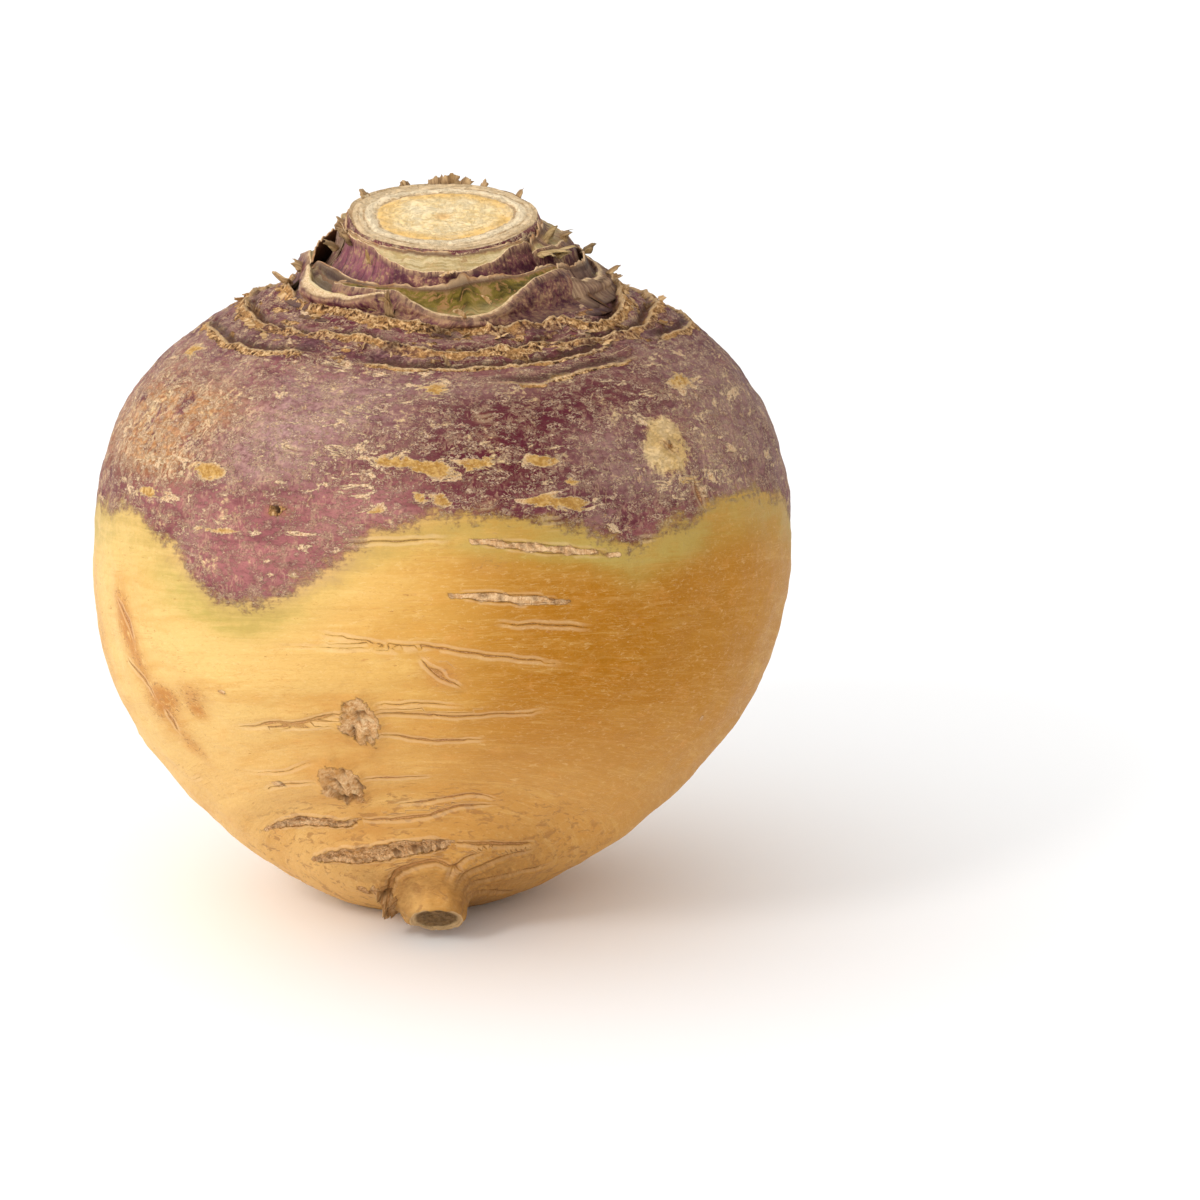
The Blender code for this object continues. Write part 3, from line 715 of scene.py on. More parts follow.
# Deep ochre right of the front: partly the skin's own colour, partly painted shade on the flank turned from the light.
ochre_and_right_shade = smooth(A, -10, 20) * (1 - 0.55 * smooth(A, 24, 100)) * (1 - smooth(A, 90, 160)) * (1 - 0.6 * smooth(-T, -16, -2)) * SIDE
grime = SIDE * (1 - smooth(T, 4, 9))
stain = np.clip(0.8 * spot(-16, 21, 12, 9) + 0.8 * spot(-26, 8, 16, 6) + 0.8 * spot(-30, 0, 50, 2.5) + 0.5 * spot(-63, 40, 9, 16) + 0.4 * spot(0, 34, 8, 6) + 0.6 * spot(167, 22, 16, 14), 0, 1)
foot_dark = np.clip(smooth(A, 20, 75) * (1 - smooth(A, 165, 180)) * (1 - smooth(T, -4, 6)) + 0.8 * spot(-70, -4, 22, 2.2) + 0.85 * (1 - smooth(T, -4.6, -1.5)), 0, 1) * (SIDE > 0) * (1 - 0.55 * (1 - smooth(T, -7.5, -4.5)) * (1 - smooth(np.abs(wrap(A + 10)), 30, 70)))
plum_and_crevice_shade = np.clip(plum_and_crevice_shade + SIDE * (1.2 * spot(-14, 96.6, 10, 0.8) + 1.0 * spot(-38, 97.2, 9, 1.0) + 0.9 * spot(-60, 97.9, 7, 0.9) + 0.8 * spot(24, 99.4, 12, 0.5) + 0.9 * spot(40, 96.6, 12, 0.8) + 0.8 * spot(66, 97.2, 12, 0.8) + 0.7 * spot(150, 97.0, 20, 0.6) + 0.6 * spot(-110, 97.5, 16, 0.6)), 0, 1)
cream_and_left_light = np.clip(0.5 + 0.5 * np.cos(np.radians(A + 82)), 0, 1)  # the left flank is lighter: partly its creamier skin, partly painted light from the left


def root_material():
    k = Nodes("root_skin_grown")
    g = k.attribute("grown", vector=True)
    sd, crk, crw = k.attribute("purple_sd"), k.attribute("crack_sd"), k.attribute("crack_w")
    rd, rw = k.attribute("ring_d"), k.attribute("ring_w")
    knotty = k.attribute("knotty")
    big = k.noise(g, 0.035, 3.0)
    mid = k.noise(g, 0.16, 5.0, 0.6)
    fine = k.noise(g, 1.1, 6.0, 0.65)
    grit = k.noise(g, 3.2, 4.0, 0.6)
    along = k.noise(k.scaled(g, (0.075, 0.075, 0.75)), 1.0, 6.0, 0.60, 0.5)
    upright = k.noise(k.scaled(g, (1.35, 1.35, 0.16)), 1.0, 5.0, 0.65, 0.3)
    streak = k.noise(k.scaled(g, (0.045, 0.045, 0.16), (3, 1, 4)), 1.0, 5.0, 0.62, 0.4)
    speckle = k.noise(k.scaled(g, (0.95, 0.95, 1.35), (2, 2, 4)), 1.0, 8.0, 0.74, 0.6)

    def line_of(scale, shift, detail, distort, width):
        """Thin winding lines: the middle contour of a noise."""
        n = k.noise(k.scaled(g, scale, shift), 1.0, detail, 0.55, distort)
        return k.step(k.math("ABSOLUTE", k.math("SUBTRACT", n, 0.5)), width, width * 0.35)

    net = k.math("MAXIMUM", line_of((0.46, 0.46, 0.72), (0, 3, 1), 3.0, 1.8, 0.036), line_of((0.85, 0.85, 1.15), (4, 0, 2), 3.0, 1.5, 0.056))
    net = k.math("MULTIPLY", net, k.step(k.noise(k.scaled(g, (0.45, 0.45, 0.7), (8, 8, 1)), 1.0, 5.0, 0.65), 0.46, 0.56))
    net_up = k.math("MULTIPLY", line_of((1.0, 1.0, 0.28), (7, 2, 5), 3.0, 0.8, 0.075), k.step(k.noise(g, 0.30, 4.0, 0.6), 0.46, 0.60))

    # Yellow lower skin.
    yellow = k.mix(k.step(big, 0.38, 0.64), (0.655, 0.350, 0.076), (0.60, 0.290, 0.045))
    # Cream on the left flank: partly the skin's own colour, partly painted light from the left.
    yellow = k.mix(k.step(k.attribute("cream_and_left_light"), 0.42, 1.0, 0.0, 0.95), yellow, (0.765, 0.510, 0.185))
    # Deep ochre on the right: partly the skin's own colour, partly painted shade on the flank away from the light.
    yellow = k.mix(k.math("MULTIPLY", k.attribute("ochre_and_right_shade"), k.step(k.math("ADD", k.math("MULTIPLY", along, 0.5), k.math("MULTIPLY", mid, 0.5)), 0.34, 0.56, 0.84, 1.0)), yellow, (0.385, 0.142, 0.004))
    yellow = k.mix(k.math("MULTIPLY", k.attribute("low"), 0.55), yellow, (0.66, 0.355, 0.11))
    calm = k.step(k.attribute("ochre_and_right_shade"), 0.0, 1.0, 1.0, 0.30)
    yellow = k.mix(k.step(along, 0.52, 0.72, 0.0, 0.24), yellow, (0.58, 0.270, 0.055))
    yellow = k.mix(k.math("MULTIPLY", calm, k.step(along, 0.46, 0.30, 0.0, 0.26)), yellow, (0.82, 0.55, 0.21))
    yellow = k.mix(k.math("MULTIPLY", calm, k.step(streak, 0.52, 0.68, 0.0, 0.34)), yellow, (0.60, 0.280, 0.055))
    yellow = k.mix(k.math("MULTIPLY", calm, k.step(streak, 0.46, 0.32, 0.0, 0.30)), yellow, (0.82, 0.55, 0.19))
    yellow = k.mix(k.math("MULTIPLY", line_of((0.20, 0.20, 0.34), (2, 6, 4), 5.0, 1.6, 0.030), k.step(mid, 0.42, 0.62, 0.0, 0.10)), yellow, (0.80, 0.50, 0.18))
    yellow = k.mix(k.math("MULTIPLY", line_of((0.34, 0.34, 0.60), (9, 2, 6), 5.0, 1.6, 0.022), k.step(mid, 0.56, 0.42, 0.0, 0.24)), yellow, (0.52, 0.240, 0.060))
    yellow = k.mix(k.step(mid, 0.56, 0.74, 0.0, 0.30), yellow, (0.72, 0.33, 0.085))
    yellow = k.mix(k.math("MULTIPLY", line_of((0.10, 0.10, 0.85), (1, 5, 3), 3.0, 0.9, 0.012), k.step(k.noise(g, 0.11, 3.0), 0.46, 0.62, 0.0, 0.55)), yellow, (0.50, 0.22, 0.06))
    yellow = k.mix(k.math("MULTIPLY", line_of((0.08, 0.08, 0.60), (6, 1, 9), 3.0, 0.9, 0.020), 0.14), yellow, (0.82, 0.54, 0.21))
    yellow = k.mix(k.step(k.noise(k.scaled(g, (0.42, 0.42, 1.1), (1, 7, 2)), 1.0, 5.0, 0.7), 0.650, 0.69, 0.0, 0.75), yellow, (0.40, 0.16, 0.042))
    yellow = k.mix(k.math("MULTIPLY", k.attribute("scab"), k.step(k.noise(k.scaled(g, (0.8, 0.8, 0.35), (3, 3, 7)), 1.0, 7.0, 0.7, 0.5), 0.34, 0.46)), yellow, (0.50, 0.205, 0.045))
    yellow = k.mix(k.math("MULTIPLY", k.step(k.attribute("scab"), 0.15, 0.6), k.step(speckle, 0.55, 0.60, 0.0, 0.85)), yellow, (0.24, 0.100, 0.032))
    yellow = k.mix(k.math("MULTIPLY", k.attribute("scab"), k.step(speckle, 0.45, 0.7, 0.0, 0.35)), yellow, (0.70, 0.36, 0.12))
    yellow = k.mix(k.step(k.noise(k.scaled(g, (0.9, 0.9, 1.1), (6, 6, 2)), 1.0, 7.0, 0.75, 0.6), 0.53, 0.66, 0.0, 0.30), yellow, (0.55, 0.255, 0.055))
    yellow = k.mix(k.step(k.noise(k.scaled(g, (0.8, 0.8, 1.4), (1, 3, 9)), 1.0, 7.0, 0.75, 0.6), 0.54, 0.66, 0.0, 0.28), yellow, (0.88, 0.63, 0.30))
    yellow = k.mix(k.math("MULTIPLY", k.attribute("green"), k.step(k.math("ADD", k.math("MULTIPLY", along, 0.5), k.math("MULTIPLY", mid, 0.5)), 0.38, 0.60, 0.45, 0.95)), yellow, (0.46, 0.345, 0.085))

    # Purple shoulders.
    purple = k.mix(k.step(k.math("ADD", k.math("MULTIPLY", streak, 0.6), k.math("MULTIPLY", fine, 0.4)), 0.42, 0.60), (0.105, 0.020, 0.030), (0.235, 0.072, 0.078))
    tint = k.noise(k.scaled(g, (0.075, 0.075, 0.13), (5, 5, 1)), 1.0, 6.0, 0.66, 0.4)
    purple = k.mix(k.step(tint, 0.51, 0.60, 0.0, 0.60), purple, (0.350, 0.185, 0.155))
    purple = k.mix(k.step(tint, 0.48, 0.40, 0.0, 0.80), purple, (0.110, 0.014, 0.028))
    purple = k.mix(k.math("MULTIPLY", k.attribute("dark"), k.step(k.math("ADD", k.math("MULTIPLY", fine, 0.6), k.math("MULTIPLY", mid, 0.4)), 0.36, 0.50, 0.55, 1.0)), purple, (0.098, 0.010, 0.020))
    purple = k.mix(k.math("MULTIPLY", k.attribute("pink"), k.step(mid, 0.3, 0.6, 0.6, 0.95)), purple, (0.430, 0.160, 0.150))
    # The grey bloom is painted lighter on the left flank, where the light falls.
    purple = k.mix(k.math("MULTIPLY", k.attribute("grey"), k.step(k.math("ADD", k.math("MULTIPLY", fine, 0.5), k.math("MULTIPLY", mid, 0.5)), 0.38, 0.56, 0.35, 1.0)), purple, k.mix(k.step(k.attribute("cream_and_left_light"), 0.45, 0.85), (0.330, 0.185, 0.158), (0.450, 0.255, 0.230)))
    wash = k.math("MULTIPLY", k.step(speckle, 0.43, 0.60), k.step(k.math("ADD", streak, k.math("MULTIPLY", k.attribute("fleck"), 0.35)), 0.46, 0.62))
    purple = k.mix(k.math("MULTIPLY", wash, 0.26), purple, (0.38, 0.195, 0.120))
    purple = k.mix(k.step(along, 0.53, 0.64, 0.0, 0.35), purple, (0.115, 0.026, 0.032))
    purple = k.mix(k.step(k.noise(k.scaled(g, (1.5, 1.5, 2.4), (4, 4, 4)), 1.0, 4.0, 0.6), 0.56, 0.66, 0.0, 0.40), purple, (0.105, 0.024, 0.030))
    rust_on = k.math("MULTIPLY", k.attribute("rust"), k.step(k.noise(k.scaled(g, (0.26, 0.26, 0.17)), 1.0, 8.0, 0.68, 0.5), 0.36, 0.52))
    purple = k.mix(k.math("MULTIPLY", rust_on, 0.92), purple, k.mix(k.step(fine, 0.42, 0.58), (0.42, 0.185, 0.060), (0.62, 0.335, 0.150)))
    # Cork: a fine broken net, specks, and larger crusts.
    net_on = k.math("MULTIPLY", net, k.step(k.attribute("pink"), 0.1, 0.9, 0.85, 0.45))
    purple = k.mix(net_on, purple, k.mix(k.step(grit, 0.42, 0.6), (0.50, 0.29, 0.17), (0.74, 0.54, 0.37)))
    purple = k.mix(k.math("MULTIPLY", net_up, k.step(k.attribute("rust"), 0.0, 0.5, 0.30, 0.95)), purple, (0.68, 0.46, 0.27))
    density = k.math("ADD", k.math("MULTIPLY", k.attribute("dark"), -0.026), k.math("MULTIPLY", k.attribute("fleck"), 0.075))
    f1 = k.math("ADD", k.noise(k.scaled(g, (0.20, 0.20, 0.40)), 1.0, 9.0, 0.72, 0.5), density)
    f2 = k.math("ADD", k.noise(k.scaled(g, (0.62, 0.62, 0.20), (5, 1, 8)), 1.0, 8.0, 0.72, 0.4), density)
    f3 = k.math("ADD", speckle, density)
    crust = k.step(k.math("ADD", f1, k.math("MULTIPLY", k.attribute("patch"), 0.28)), 0.592, 0.610)
    rim = k.math("SUBTRACT", crust, k.step(k.math("ADD", f1, k.math("MULTIPLY", k.attribute("patch"), 0.28)), 0.618, 0.645))
    fleck = k.math("MAXIMUM", k.math("MULTIPLY", k.step(f2, 0.620, 0.640), 0.8), k.math("MULTIPLY", k.step(f3, 0.613, 0.635), 0.95))
    tan = k.mix(k.step(grit, 0.40, 0.60), (0.46, 0.245, 0.110), (0.76, 0.54, 0.34))
    purple = k.mix(k.math("MULTIPLY", fleck, 0.85), purple, tan)
    gold = k.mix(k.step(fine, 0.40, 0.60), (0.38, 0.190, 0.040), (0.58, 0.345, 0.110))
    purple = k.mix(k.math("MULTIPLY", crust, k.step(grit, 0.3, 0.55, 0.7, 1.0)), purple, k.mix(k.step(k.attribute("patch"), 0.1, 0.5), tan, gold))
    purple = k.mix(k.math("MULTIPLY", rim, 0.7), purple, (0.68, 0.50, 0.30))
    pale_on = k.step(k.math("ADD", k.attribute("pale"), k.math("ADD", k.math("MULTIPLY", k.math("SUBTRACT", fine, 0.5), 1.6), k.math("MULTIPLY", k.math("SUBTRACT", mid, 0.5), 2.0))), 0.20, 0.70)
    purple = k.mix(k.math("MULTIPLY", pale_on, 0.94), purple, k.mix(k.step(k.math("ADD", k.math("MULTIPLY", fine, 0.5), k.math("MULTIPLY", mid, 0.5)), 0.42, 0.58), (0.72, 0.465, 0.175), (0.88, 0.62, 0.31)))

    # The border between them is frayed, with an olive and tan band under it.
    edge = k.math("ADD", sd, k.math("ADD", k.math("MULTIPLY", k.math("SUBTRACT", mid, 0.5), 12.0), k.math("MULTIPLY", k.math("SUBTRACT", fine, 0.5), 5.0)))
    edge = k.math("ADD", edge, k.math("ADD", k.math("MULTIPLY", k.math("SUBTRACT", along, 0.5), 4.0), k.math("MULTIPLY", k.math("SUBTRACT", speckle, 0.5), 6.0)))
    band = k.math("MULTIPLY", k.step(edge, -7.0, -0.5), k.step(along, 0.25, 0.60, 0.55, 0.95))
    yellow = k.mix(k.math("MULTIPLY", band, 0.80), yellow, k.mix(k.step(k.attribute("pink"), 0.0, 0.7), (0.47, 0.315, 0.085), (0.52, 0.315, 0.150)))
    is_purple = k.step(edge, -1.7, 2.2)
    skin = k.mix(is_purple, yellow, purple)
    freckle = k.math("MULTIPLY", k.step(sd, -7.0, -0.5), k.step(speckle, 0.60, 0.68))
    skin = k.mix(k.math("MULTIPLY", freckle, 0.45), skin, (0.36, 0.18, 0.11))

    # Cork, cracks, stains, dirt, painted shade in pits and crevices, and darker hollows.
    # The cork's fibres, by a noise that also raises them in the relief: dark in the gaps is partly the cork's own
    # colour, partly painted shade; pale on their tops is partly painted highlight.
    strand = k.math("ADD", k.math("MULTIPLY", upright, 0.75), k.math("MULTIPLY", grit, 0.25))
    cork_c = k.mix(k.step(strand, 0.42, 0.50), (0.070, 0.030, 0.016), (0.46, 0.235, 0.090))
    cork_c = k.mix(k.step(strand, 0.51, 0.58), cork_c, (0.90, 0.59, 0.29))
    cork_c = k.mix(k.step(mid, 0.50, 0.60, 0.0, 0.55), cork_c, (0.58, 0.29, 0.095))
    dry_c = k.mix(k.step(k.noise(k.scaled(g, (1.6, 1.6, 1.2)), 1.0, 7.0, 0.7), 0.38, 0.62), (0.58, 0.305, 0.125), (0.88, 0.58, 0.31))
    # The knots' creases between ribs: partly painted shade, and their ribs' tops partly painted highlight.
    dry_c = k.mix(k.math("MULTIPLY", knotty, k.step(strand, 0.38, 0.46, 0.80, 0.0)), dry_c, (0.38, 0.165, 0.045))
    dry_c = k.mix(k.math("MULTIPLY", knotty, k.step(strand, 0.50, 0.57, 0.0, 0.9)), dry_c, (0.92, 0.66, 0.37))
    dry_c = k.mix(k.math("MULTIPLY", k.attribute("grime"), k.step(grit, 0.38, 0.54, 0.90, 0.0)), dry_c, (0.25, 0.125, 0.055))
    cork_c = k.mix(k.step(sd, -2.0, 3.0), dry_c, cork_c)
    cork_on = k.step(k.math("ADD", k.attribute("cork"), k.math("MULTIPLY", k.math("SUBTRACT", fine, 0.5), 1.1)), 0.36, 0.58)
    skin = k.mix(cork_on, skin, cork_c)
    skin = k.mix(k.math("MULTIPLY", k.attribute("brown"), k.step(fine, 0.3, 0.7, 0.25, 0.7)), skin, (0.50, 0.225, 0.065))
    # Dark purple in the crevices and under the stalks: partly the skin's own colour, partly painted shade.
    plum_and_crevice_shade = k.math("MULTIPLY", k.attribute("plum_and_crevice_shade"), k.step(k.math("ADD", k.math("MULTIPLY", fine, 0.5), k.math("MULTIPLY", mid, 0.5)), 0.60, 0.46))
    skin = k.mix(plum_and_crevice_shade, skin, k.mix(k.step(fine, 0.4, 0.6), (0.095, 0.030, 0.036), (0.215, 0.095, 0.098)))
    skin = k.mix(k.math("MULTIPLY", k.math("MULTIPLY", k.attribute("stain"), k.step(k.math("ADD", k.math("MULTIPLY", streak, 0.5), k.math("MULTIPLY", mid, 0.5)), 0.42, 0.58, 0.15, 0.75)), k.step(is_purple, 0.6, 0.1)), skin, (0.56, 0.265, 0.065))
    skin = k.mix(k.math("MULTIPLY", k.attribute("grime"), k.step(k.noise(k.scaled(g, (0.35, 0.35, 0.5), (3, 9, 2)), 1.0, 6.0, 0.7, 0.6), 0.53, 0.60, 0.0, 0.62)), skin, (0.36, 0.165, 0.055))
    lip = k.math("MULTIPLY", rw, k.step(k.math("ABSOLUTE", k.math("ADD", k.math("SUBTRACT", rd, 0.18), k.math("MULTIPLY", k.math("SUBTRACT", fine, 0.5), 0.5))), 0.42, 0.16))
    skin = k.mix(k.math("MULTIPLY", lip, 0.85), skin, k.mix(k.step(grit, 0.4, 0.6), (0.64, 0.385, 0.175), (0.90, 0.63, 0.36)))
    line = k.step(k.math("DIVIDE", k.math("ADD", k.math("ABSOLUTE", crk), k.math("MULTIPLY", fine, 0.25)), k.math("ADD", crw, 0.02)), 1.25, 0.55)
    line = k.math("MULTIPLY", line, k.step(crw, 0.03, 0.12))
    beside = k.math("MULTIPLY", k.step(crw, 0.03, 0.15), k.step(k.math("ABSOLUTE", k.math("SUBTRACT", k.math("ABSOLUTE", crk), k.math("ADD", crw, 0.35))), 0.42, 0.10))
    skin = k.mix(k.math("MULTIPLY", beside, 0.26), skin, (0.86, 0.62, 0.36))
    skin = k.mix(k.math("MULTIPLY", line, k.step(mid, 0.35, 0.6, 0.40, 0.88)), skin, k.mix(k.step(grit, 0.38, 0.6), (0.34, 0.130, 0.040), (0.62, 0.320, 0.140)))
    # Painted shade in the pits, holes and crevices.
    skin = k.mix(k.math("MULTIPLY", k.attribute("pit_shade"), k.step(grit, 0.30, 0.6, 0.45, 0.95)), skin, k.mix(is_purple, (0.150, 0.066, 0.024), (0.070, 0.033, 0.020)))
    skin = k.mix(k.math("MULTIPLY", k.attribute("shadow"), k.step(fine, 0.2, 0.7, 0.75, 1.0)), skin, (0.050, 0.024, 0.018))
    # Darker in the hollows.
    skin = k.mix(k.math("MULTIPLY", k.step(k.attribute("hollow"), 0.25, 1.0, 0.0, 0.40), k.step(is_purple, 0.0, 1.0, 0.45, 1.0)), skin, (0.18, 0.080, 0.036))
    skin = k.mix(k.math("MULTIPLY", k.attribute("foot_dark"), k.step(fine, 0.25, 0.7, 0.5, 0.9)), skin, (0.27, 0.125, 0.035))

    # The cut across the neck.
    r = k.attribute("ring_r")
    radial = k.noise(k.attribute("fan", vector=True), 1.0, 5.0, 0.6)
    core = k.mix(k.step(radial, 0.32, 0.68), (0.93, 0.645, 0.28), (0.97, 0.76, 0.43))
    core = k.mix(k.step(r, 7.0, 10.8, 0.0, 0.75), core, (0.90, 0.53, 0.15))
    core = k.mix(k.step(r, 2.2, 0.6, 0.0, 0.75), core, (0.88, 0.52, 0.20))
    core = k.mix(k.step(k.math("ADD", mid, k.math("MULTIPLY", fine, 0.3)), 0.56, 0.86, 0.0, 0.42), core, (0.98, 0.85, 0.60))
    rind = k.mix(k.step(fine, 0.42, 0.62), (0.78, 0.575, 0.33), (0.90, 0.71, 0.46))
    rind = k.mix(k.step(r, 13.4, 15.0, 0.0, 0.6), rind, (0.70, 0.49, 0.27))
    rind = k.mix(k.step(k.math("ABSOLUTE", k.math("SUBTRACT", r, 12.6)), 0.9, 0.3, 0.0, 0.55), rind, (0.94, 0.77, 0.52))
    cut = k.mix(k.step(k.math("ADD", r, k.math("MULTIPLY", k.math("SUBTRACT", fine, 0.5), 0.5)), 11.0, 11.5), core, rind)
    wavy = k.math("ADD", r, k.math("MULTIPLY", k.math("SUBTRACT", fine, 0.5), 0.9))
    for at, width, amount in ((11.45, 0.30, 0.75), (13.6, 0.26, 0.80), (14.6, 0.16, 0.5), (15.75, 0.34, 0.8)):
        near = k.step(k.math("ABSOLUTE", k.math("SUBTRACT", wavy, at)), width, width * 0.35)
        cut = k.mix(k.math("MULTIPLY", near, k.step(mid, 0.40, 0.58, 0.25 * amount, amount)), cut, (0.42, 0.235, 0.105))
    speck = k.math("MULTIPLY", k.step(r, 10.8, 11.6), k.step(k.noise(g, 1.5, 6.0, 0.72, 0.3), 0.60, 0.65))
    cut = k.mix(k.math("MULTIPLY", speck, 0.75), cut, (0.40, 0.22, 0.10))
    colour = k.mix(k.step(r, 16.6, 16.2), skin, cut)
    # The cut across the taproot.
    e = k.attribute("end_r")
    dull = k.mix(k.step(fine, 0.35, 0.65), (0.135, 0.075, 0.028), (0.27, 0.165, 0.075))
    dull = k.mix(k.step(e, 2.7, 3.3), dull, (0.60, 0.40, 0.20))
    colour = k.mix(k.step(e, 4.3, 4.0), colour, dull)

    rough = k.step(is_purple, 0.0, 1.0, 0.44, 0.52)
    rough = k.math("ADD", rough, k.math("MULTIPLY", k.math("SUBTRACT", fine, 0.5), 0.25))
    rough = k.math("ADD", rough, k.math("MULTIPLY", k.math("MAXIMUM", cork_on, k.math("MULTIPLY", k.math("MAXIMUM", fleck, crust), is_purple)), 0.25), clamp=True)
    relief = k.math("MULTIPLY", k.math("MULTIPLY", k.math("MAXIMUM", fleck, k.math("MAXIMUM", crust, net)), is_purple), 0.45)
    relief = k.math("ADD", relief, k.math("MULTIPLY", fine, k.step(is_purple, 0, 1, 0.34, 0.8)))
    relief = k.math("ADD", relief, k.math("MULTIPLY", along, k.step(is_purple, 0, 1, 0.30, 0.35)))
    relief = k.math("ADD", relief, k.math("MULTIPLY", strand, k.step(cork_on, 0, 1, 0.04, 1.6)))
    relief = k.math("SUBTRACT", relief, k.math("MULTIPLY", line, 0.8))
    normal = k.bump(relief, 0.8, 0.0006)
    k.shader.inputs["Specular IOR Level"].default_value = 0.30
    k.shader.inputs["IOR"].default_value = 1.20
    k.shader.inputs["Subsurface Weight"].default_value = 0.0
    return k.finish(colour, rough, normal)


root_skin = root_material()
fan_coords = np.stack([np.cos(_turn) * (2.0 + R * 0.55), np.sin(_turn) * (2.0 + R * 0.55), R * 0.06], -1)
fleck_more = np.clip(0.06 + 0.15 * smooth(T, 90, 98) + 0.40 * spot(52, 82, 16, 12) + 0.45 * spot(-14, 78, 14, 3.5) + 0.35 * spot(-66, 80, 12, 8) + 0.2 * spot(-8, 84, 8, 4) - 0.3 * spot(10, 84, 12, 5) - 0.3 * spot(-35, 62, 16, 7), 0, 0.75)
root_piece = make(
    "root_grown", POINTS, TRIS, root_skin,
    dict(purple_sd=np.clip(purple_sd, -25, 25), cork=cork, pit_shade=pit_shade, crack_sd=crack_sd, crack_w=crack_w, ring_d=ring_d, ring_w=ring_w, brown=brown, hollow=hollow, rust=rust, dark=dark, grey=grey, pink=pink, pale=pale, green=green, cream_and_left_light=cream_and_left_light, fleck=fleck_more, patch=patch, scab=scab, low=low, ochre_and_right_shade=ochre_and_right_shade, grime=grime, stain=stain, foot_dark=foot_dark, plum_and_crevice_shade=plum_and_crevice_shade, knotty=knotty, shadow=shadow, ring_r=np.where(top | (T >= SPINE_LENGTH), ring_r, 40.0), end_r=r_end),
    G,
)
layer = root_piece.data.attributes.new("fan", "FLOAT_VECTOR", "POINT")
layer.data.foreach_set("vector", fan_coords.astype(np.float32).ravel())
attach(root_piece, "root")
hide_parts("root")
print("root triangles", len(TRIS))

# ---------------------------------------------------------------- trimmed leaf stalks round the neck


def leaf_material():
    k = Nodes("leaf_base_flesh_and_skin")
    g = k.attribute("grown", vector=True)
    outer, inner = k.attribute("outer_d"), k.attribute("inner_d")
    dry, greenness = k.attribute("dry"), k.attribute("greenness")
    mid = k.noise(g, 0.35, 5.0, 0.6)
    fine = k.noise(g, 1.6, 6.0, 0.65)
    grit = k.noise(g, 5.0, 4.0, 0.6)
    along = k.noise(k.scaled(g, (0.16, 1.5, 1.0)), 1.0, 5.0, 0.6)
    across = k.noise(k.scaled(g, (1.7, 0.14, 1.0)), 1.0, 5.0, 0.6)
    flesh = k.mix(k.step(along, 0.40, 0.62), (0.54, 0.38, 0.165), (0.82, 0.64, 0.36))
    olive = k.mix(k.step(mid, 0.35, 0.62), (0.045, 0.031, 0.002), (0.19, 0.130, 0.018))
    olive = k.mix(k.math("MULTIPLY", k.step(inner, 4.4, 8.4), k.step(along, 0.38, 0.58, 0.30, 0.90)), olive, (0.42, 0.315, 0.125))
    olive = k.mix(k.step(k.noise(k.scaled(g, (0.5, 0.5, 1.0), (3, 5, 0)), 1.0, 6.0, 0.7, 0.6), 0.52, 0.58, 0.0, 0.8), olive, (0.34, 0.165, 0.062))
    flesh = k.mix(greenness, flesh, olive)
    flesh = k.mix(k.step(mid, 0.57, 0.66, 0.0, 0.75), flesh, (0.33, 0.185, 0.075))
    flesh = k.mix(k.step(k.math("ADD", inner, k.math("MULTIPLY", k.math("SUBTRACT", fine, 0.5), 1.6)), 1.1, 0.2, 0.0, 0.85), flesh, (0.27, 0.13, 0.06))
    husk = k.mix(k.step(across, 0.38, 0.62), (0.135, 0.065, 0.045), (0.36, 0.21, 0.13))
    flesh = k.mix(k.step(k.math("ADD", dry, k.math("MULTIPLY", k.math("SUBTRACT", mid, 0.5), 0.8)), 0.45, 0.70), flesh, husk)

    skin = k.mix(k.step(mid, 0.36, 0.64), (0.060, 0.010, 0.020), (0.175, 0.042, 0.058))
    # Lighter magenta on the left of the stalks: partly their own colour, partly painted light from the left.
    skin = k.mix(k.math("MULTIPLY", k.attribute("magenta_and_left_light"), k.step(mid, 0.30, 0.60, 0.55, 1.0)), skin, (0.310, 0.090, 0.120))
    skin = k.mix(k.step(across, 0.52, 0.60, 0.0, 0.6), skin, (0.050, 0.012, 0.020))
    skin = k.mix(k.math("MULTIPLY", k.step(outer, 1.6, 0.2), k.step(across, 0.46, 0.54, 0.85, 0.15)), skin, (0.52, 0.32, 0.17))
    skin = k.mix(k.step(k.math("ADD", k.math("MULTIPLY", mid, 0.5), k.math("MULTIPLY", fine, 0.5)), 0.53, 0.57, 0.0, 0.85), skin, (0.42, 0.235, 0.120))
    skin = k.mix(k.math("MULTIPLY", k.attribute("tan"), k.step(k.math("ADD", k.math("MULTIPLY", mid, 0.5), k.math("MULTIPLY", fine, 0.5)), 0.42, 0.54)), skin, (0.37, 0.215, 0.110))
    skin = k.mix(k.step(k.math("ADD", dry, k.math("MULTIPLY", k.math("SUBTRACT", fine, 0.5), 0.9)), 0.40, 0.75, 0.0, 0.8), skin, k.mix(k.step(across, 0.4, 0.6), (0.20, 0.115, 0.075), (0.43, 0.28, 0.165)))
    colour = k.mix(k.step(outer, -0.08, 0.08), flesh, skin)
    return k, g, outer, inner, dry, mid, fine, grit, along, across, colour


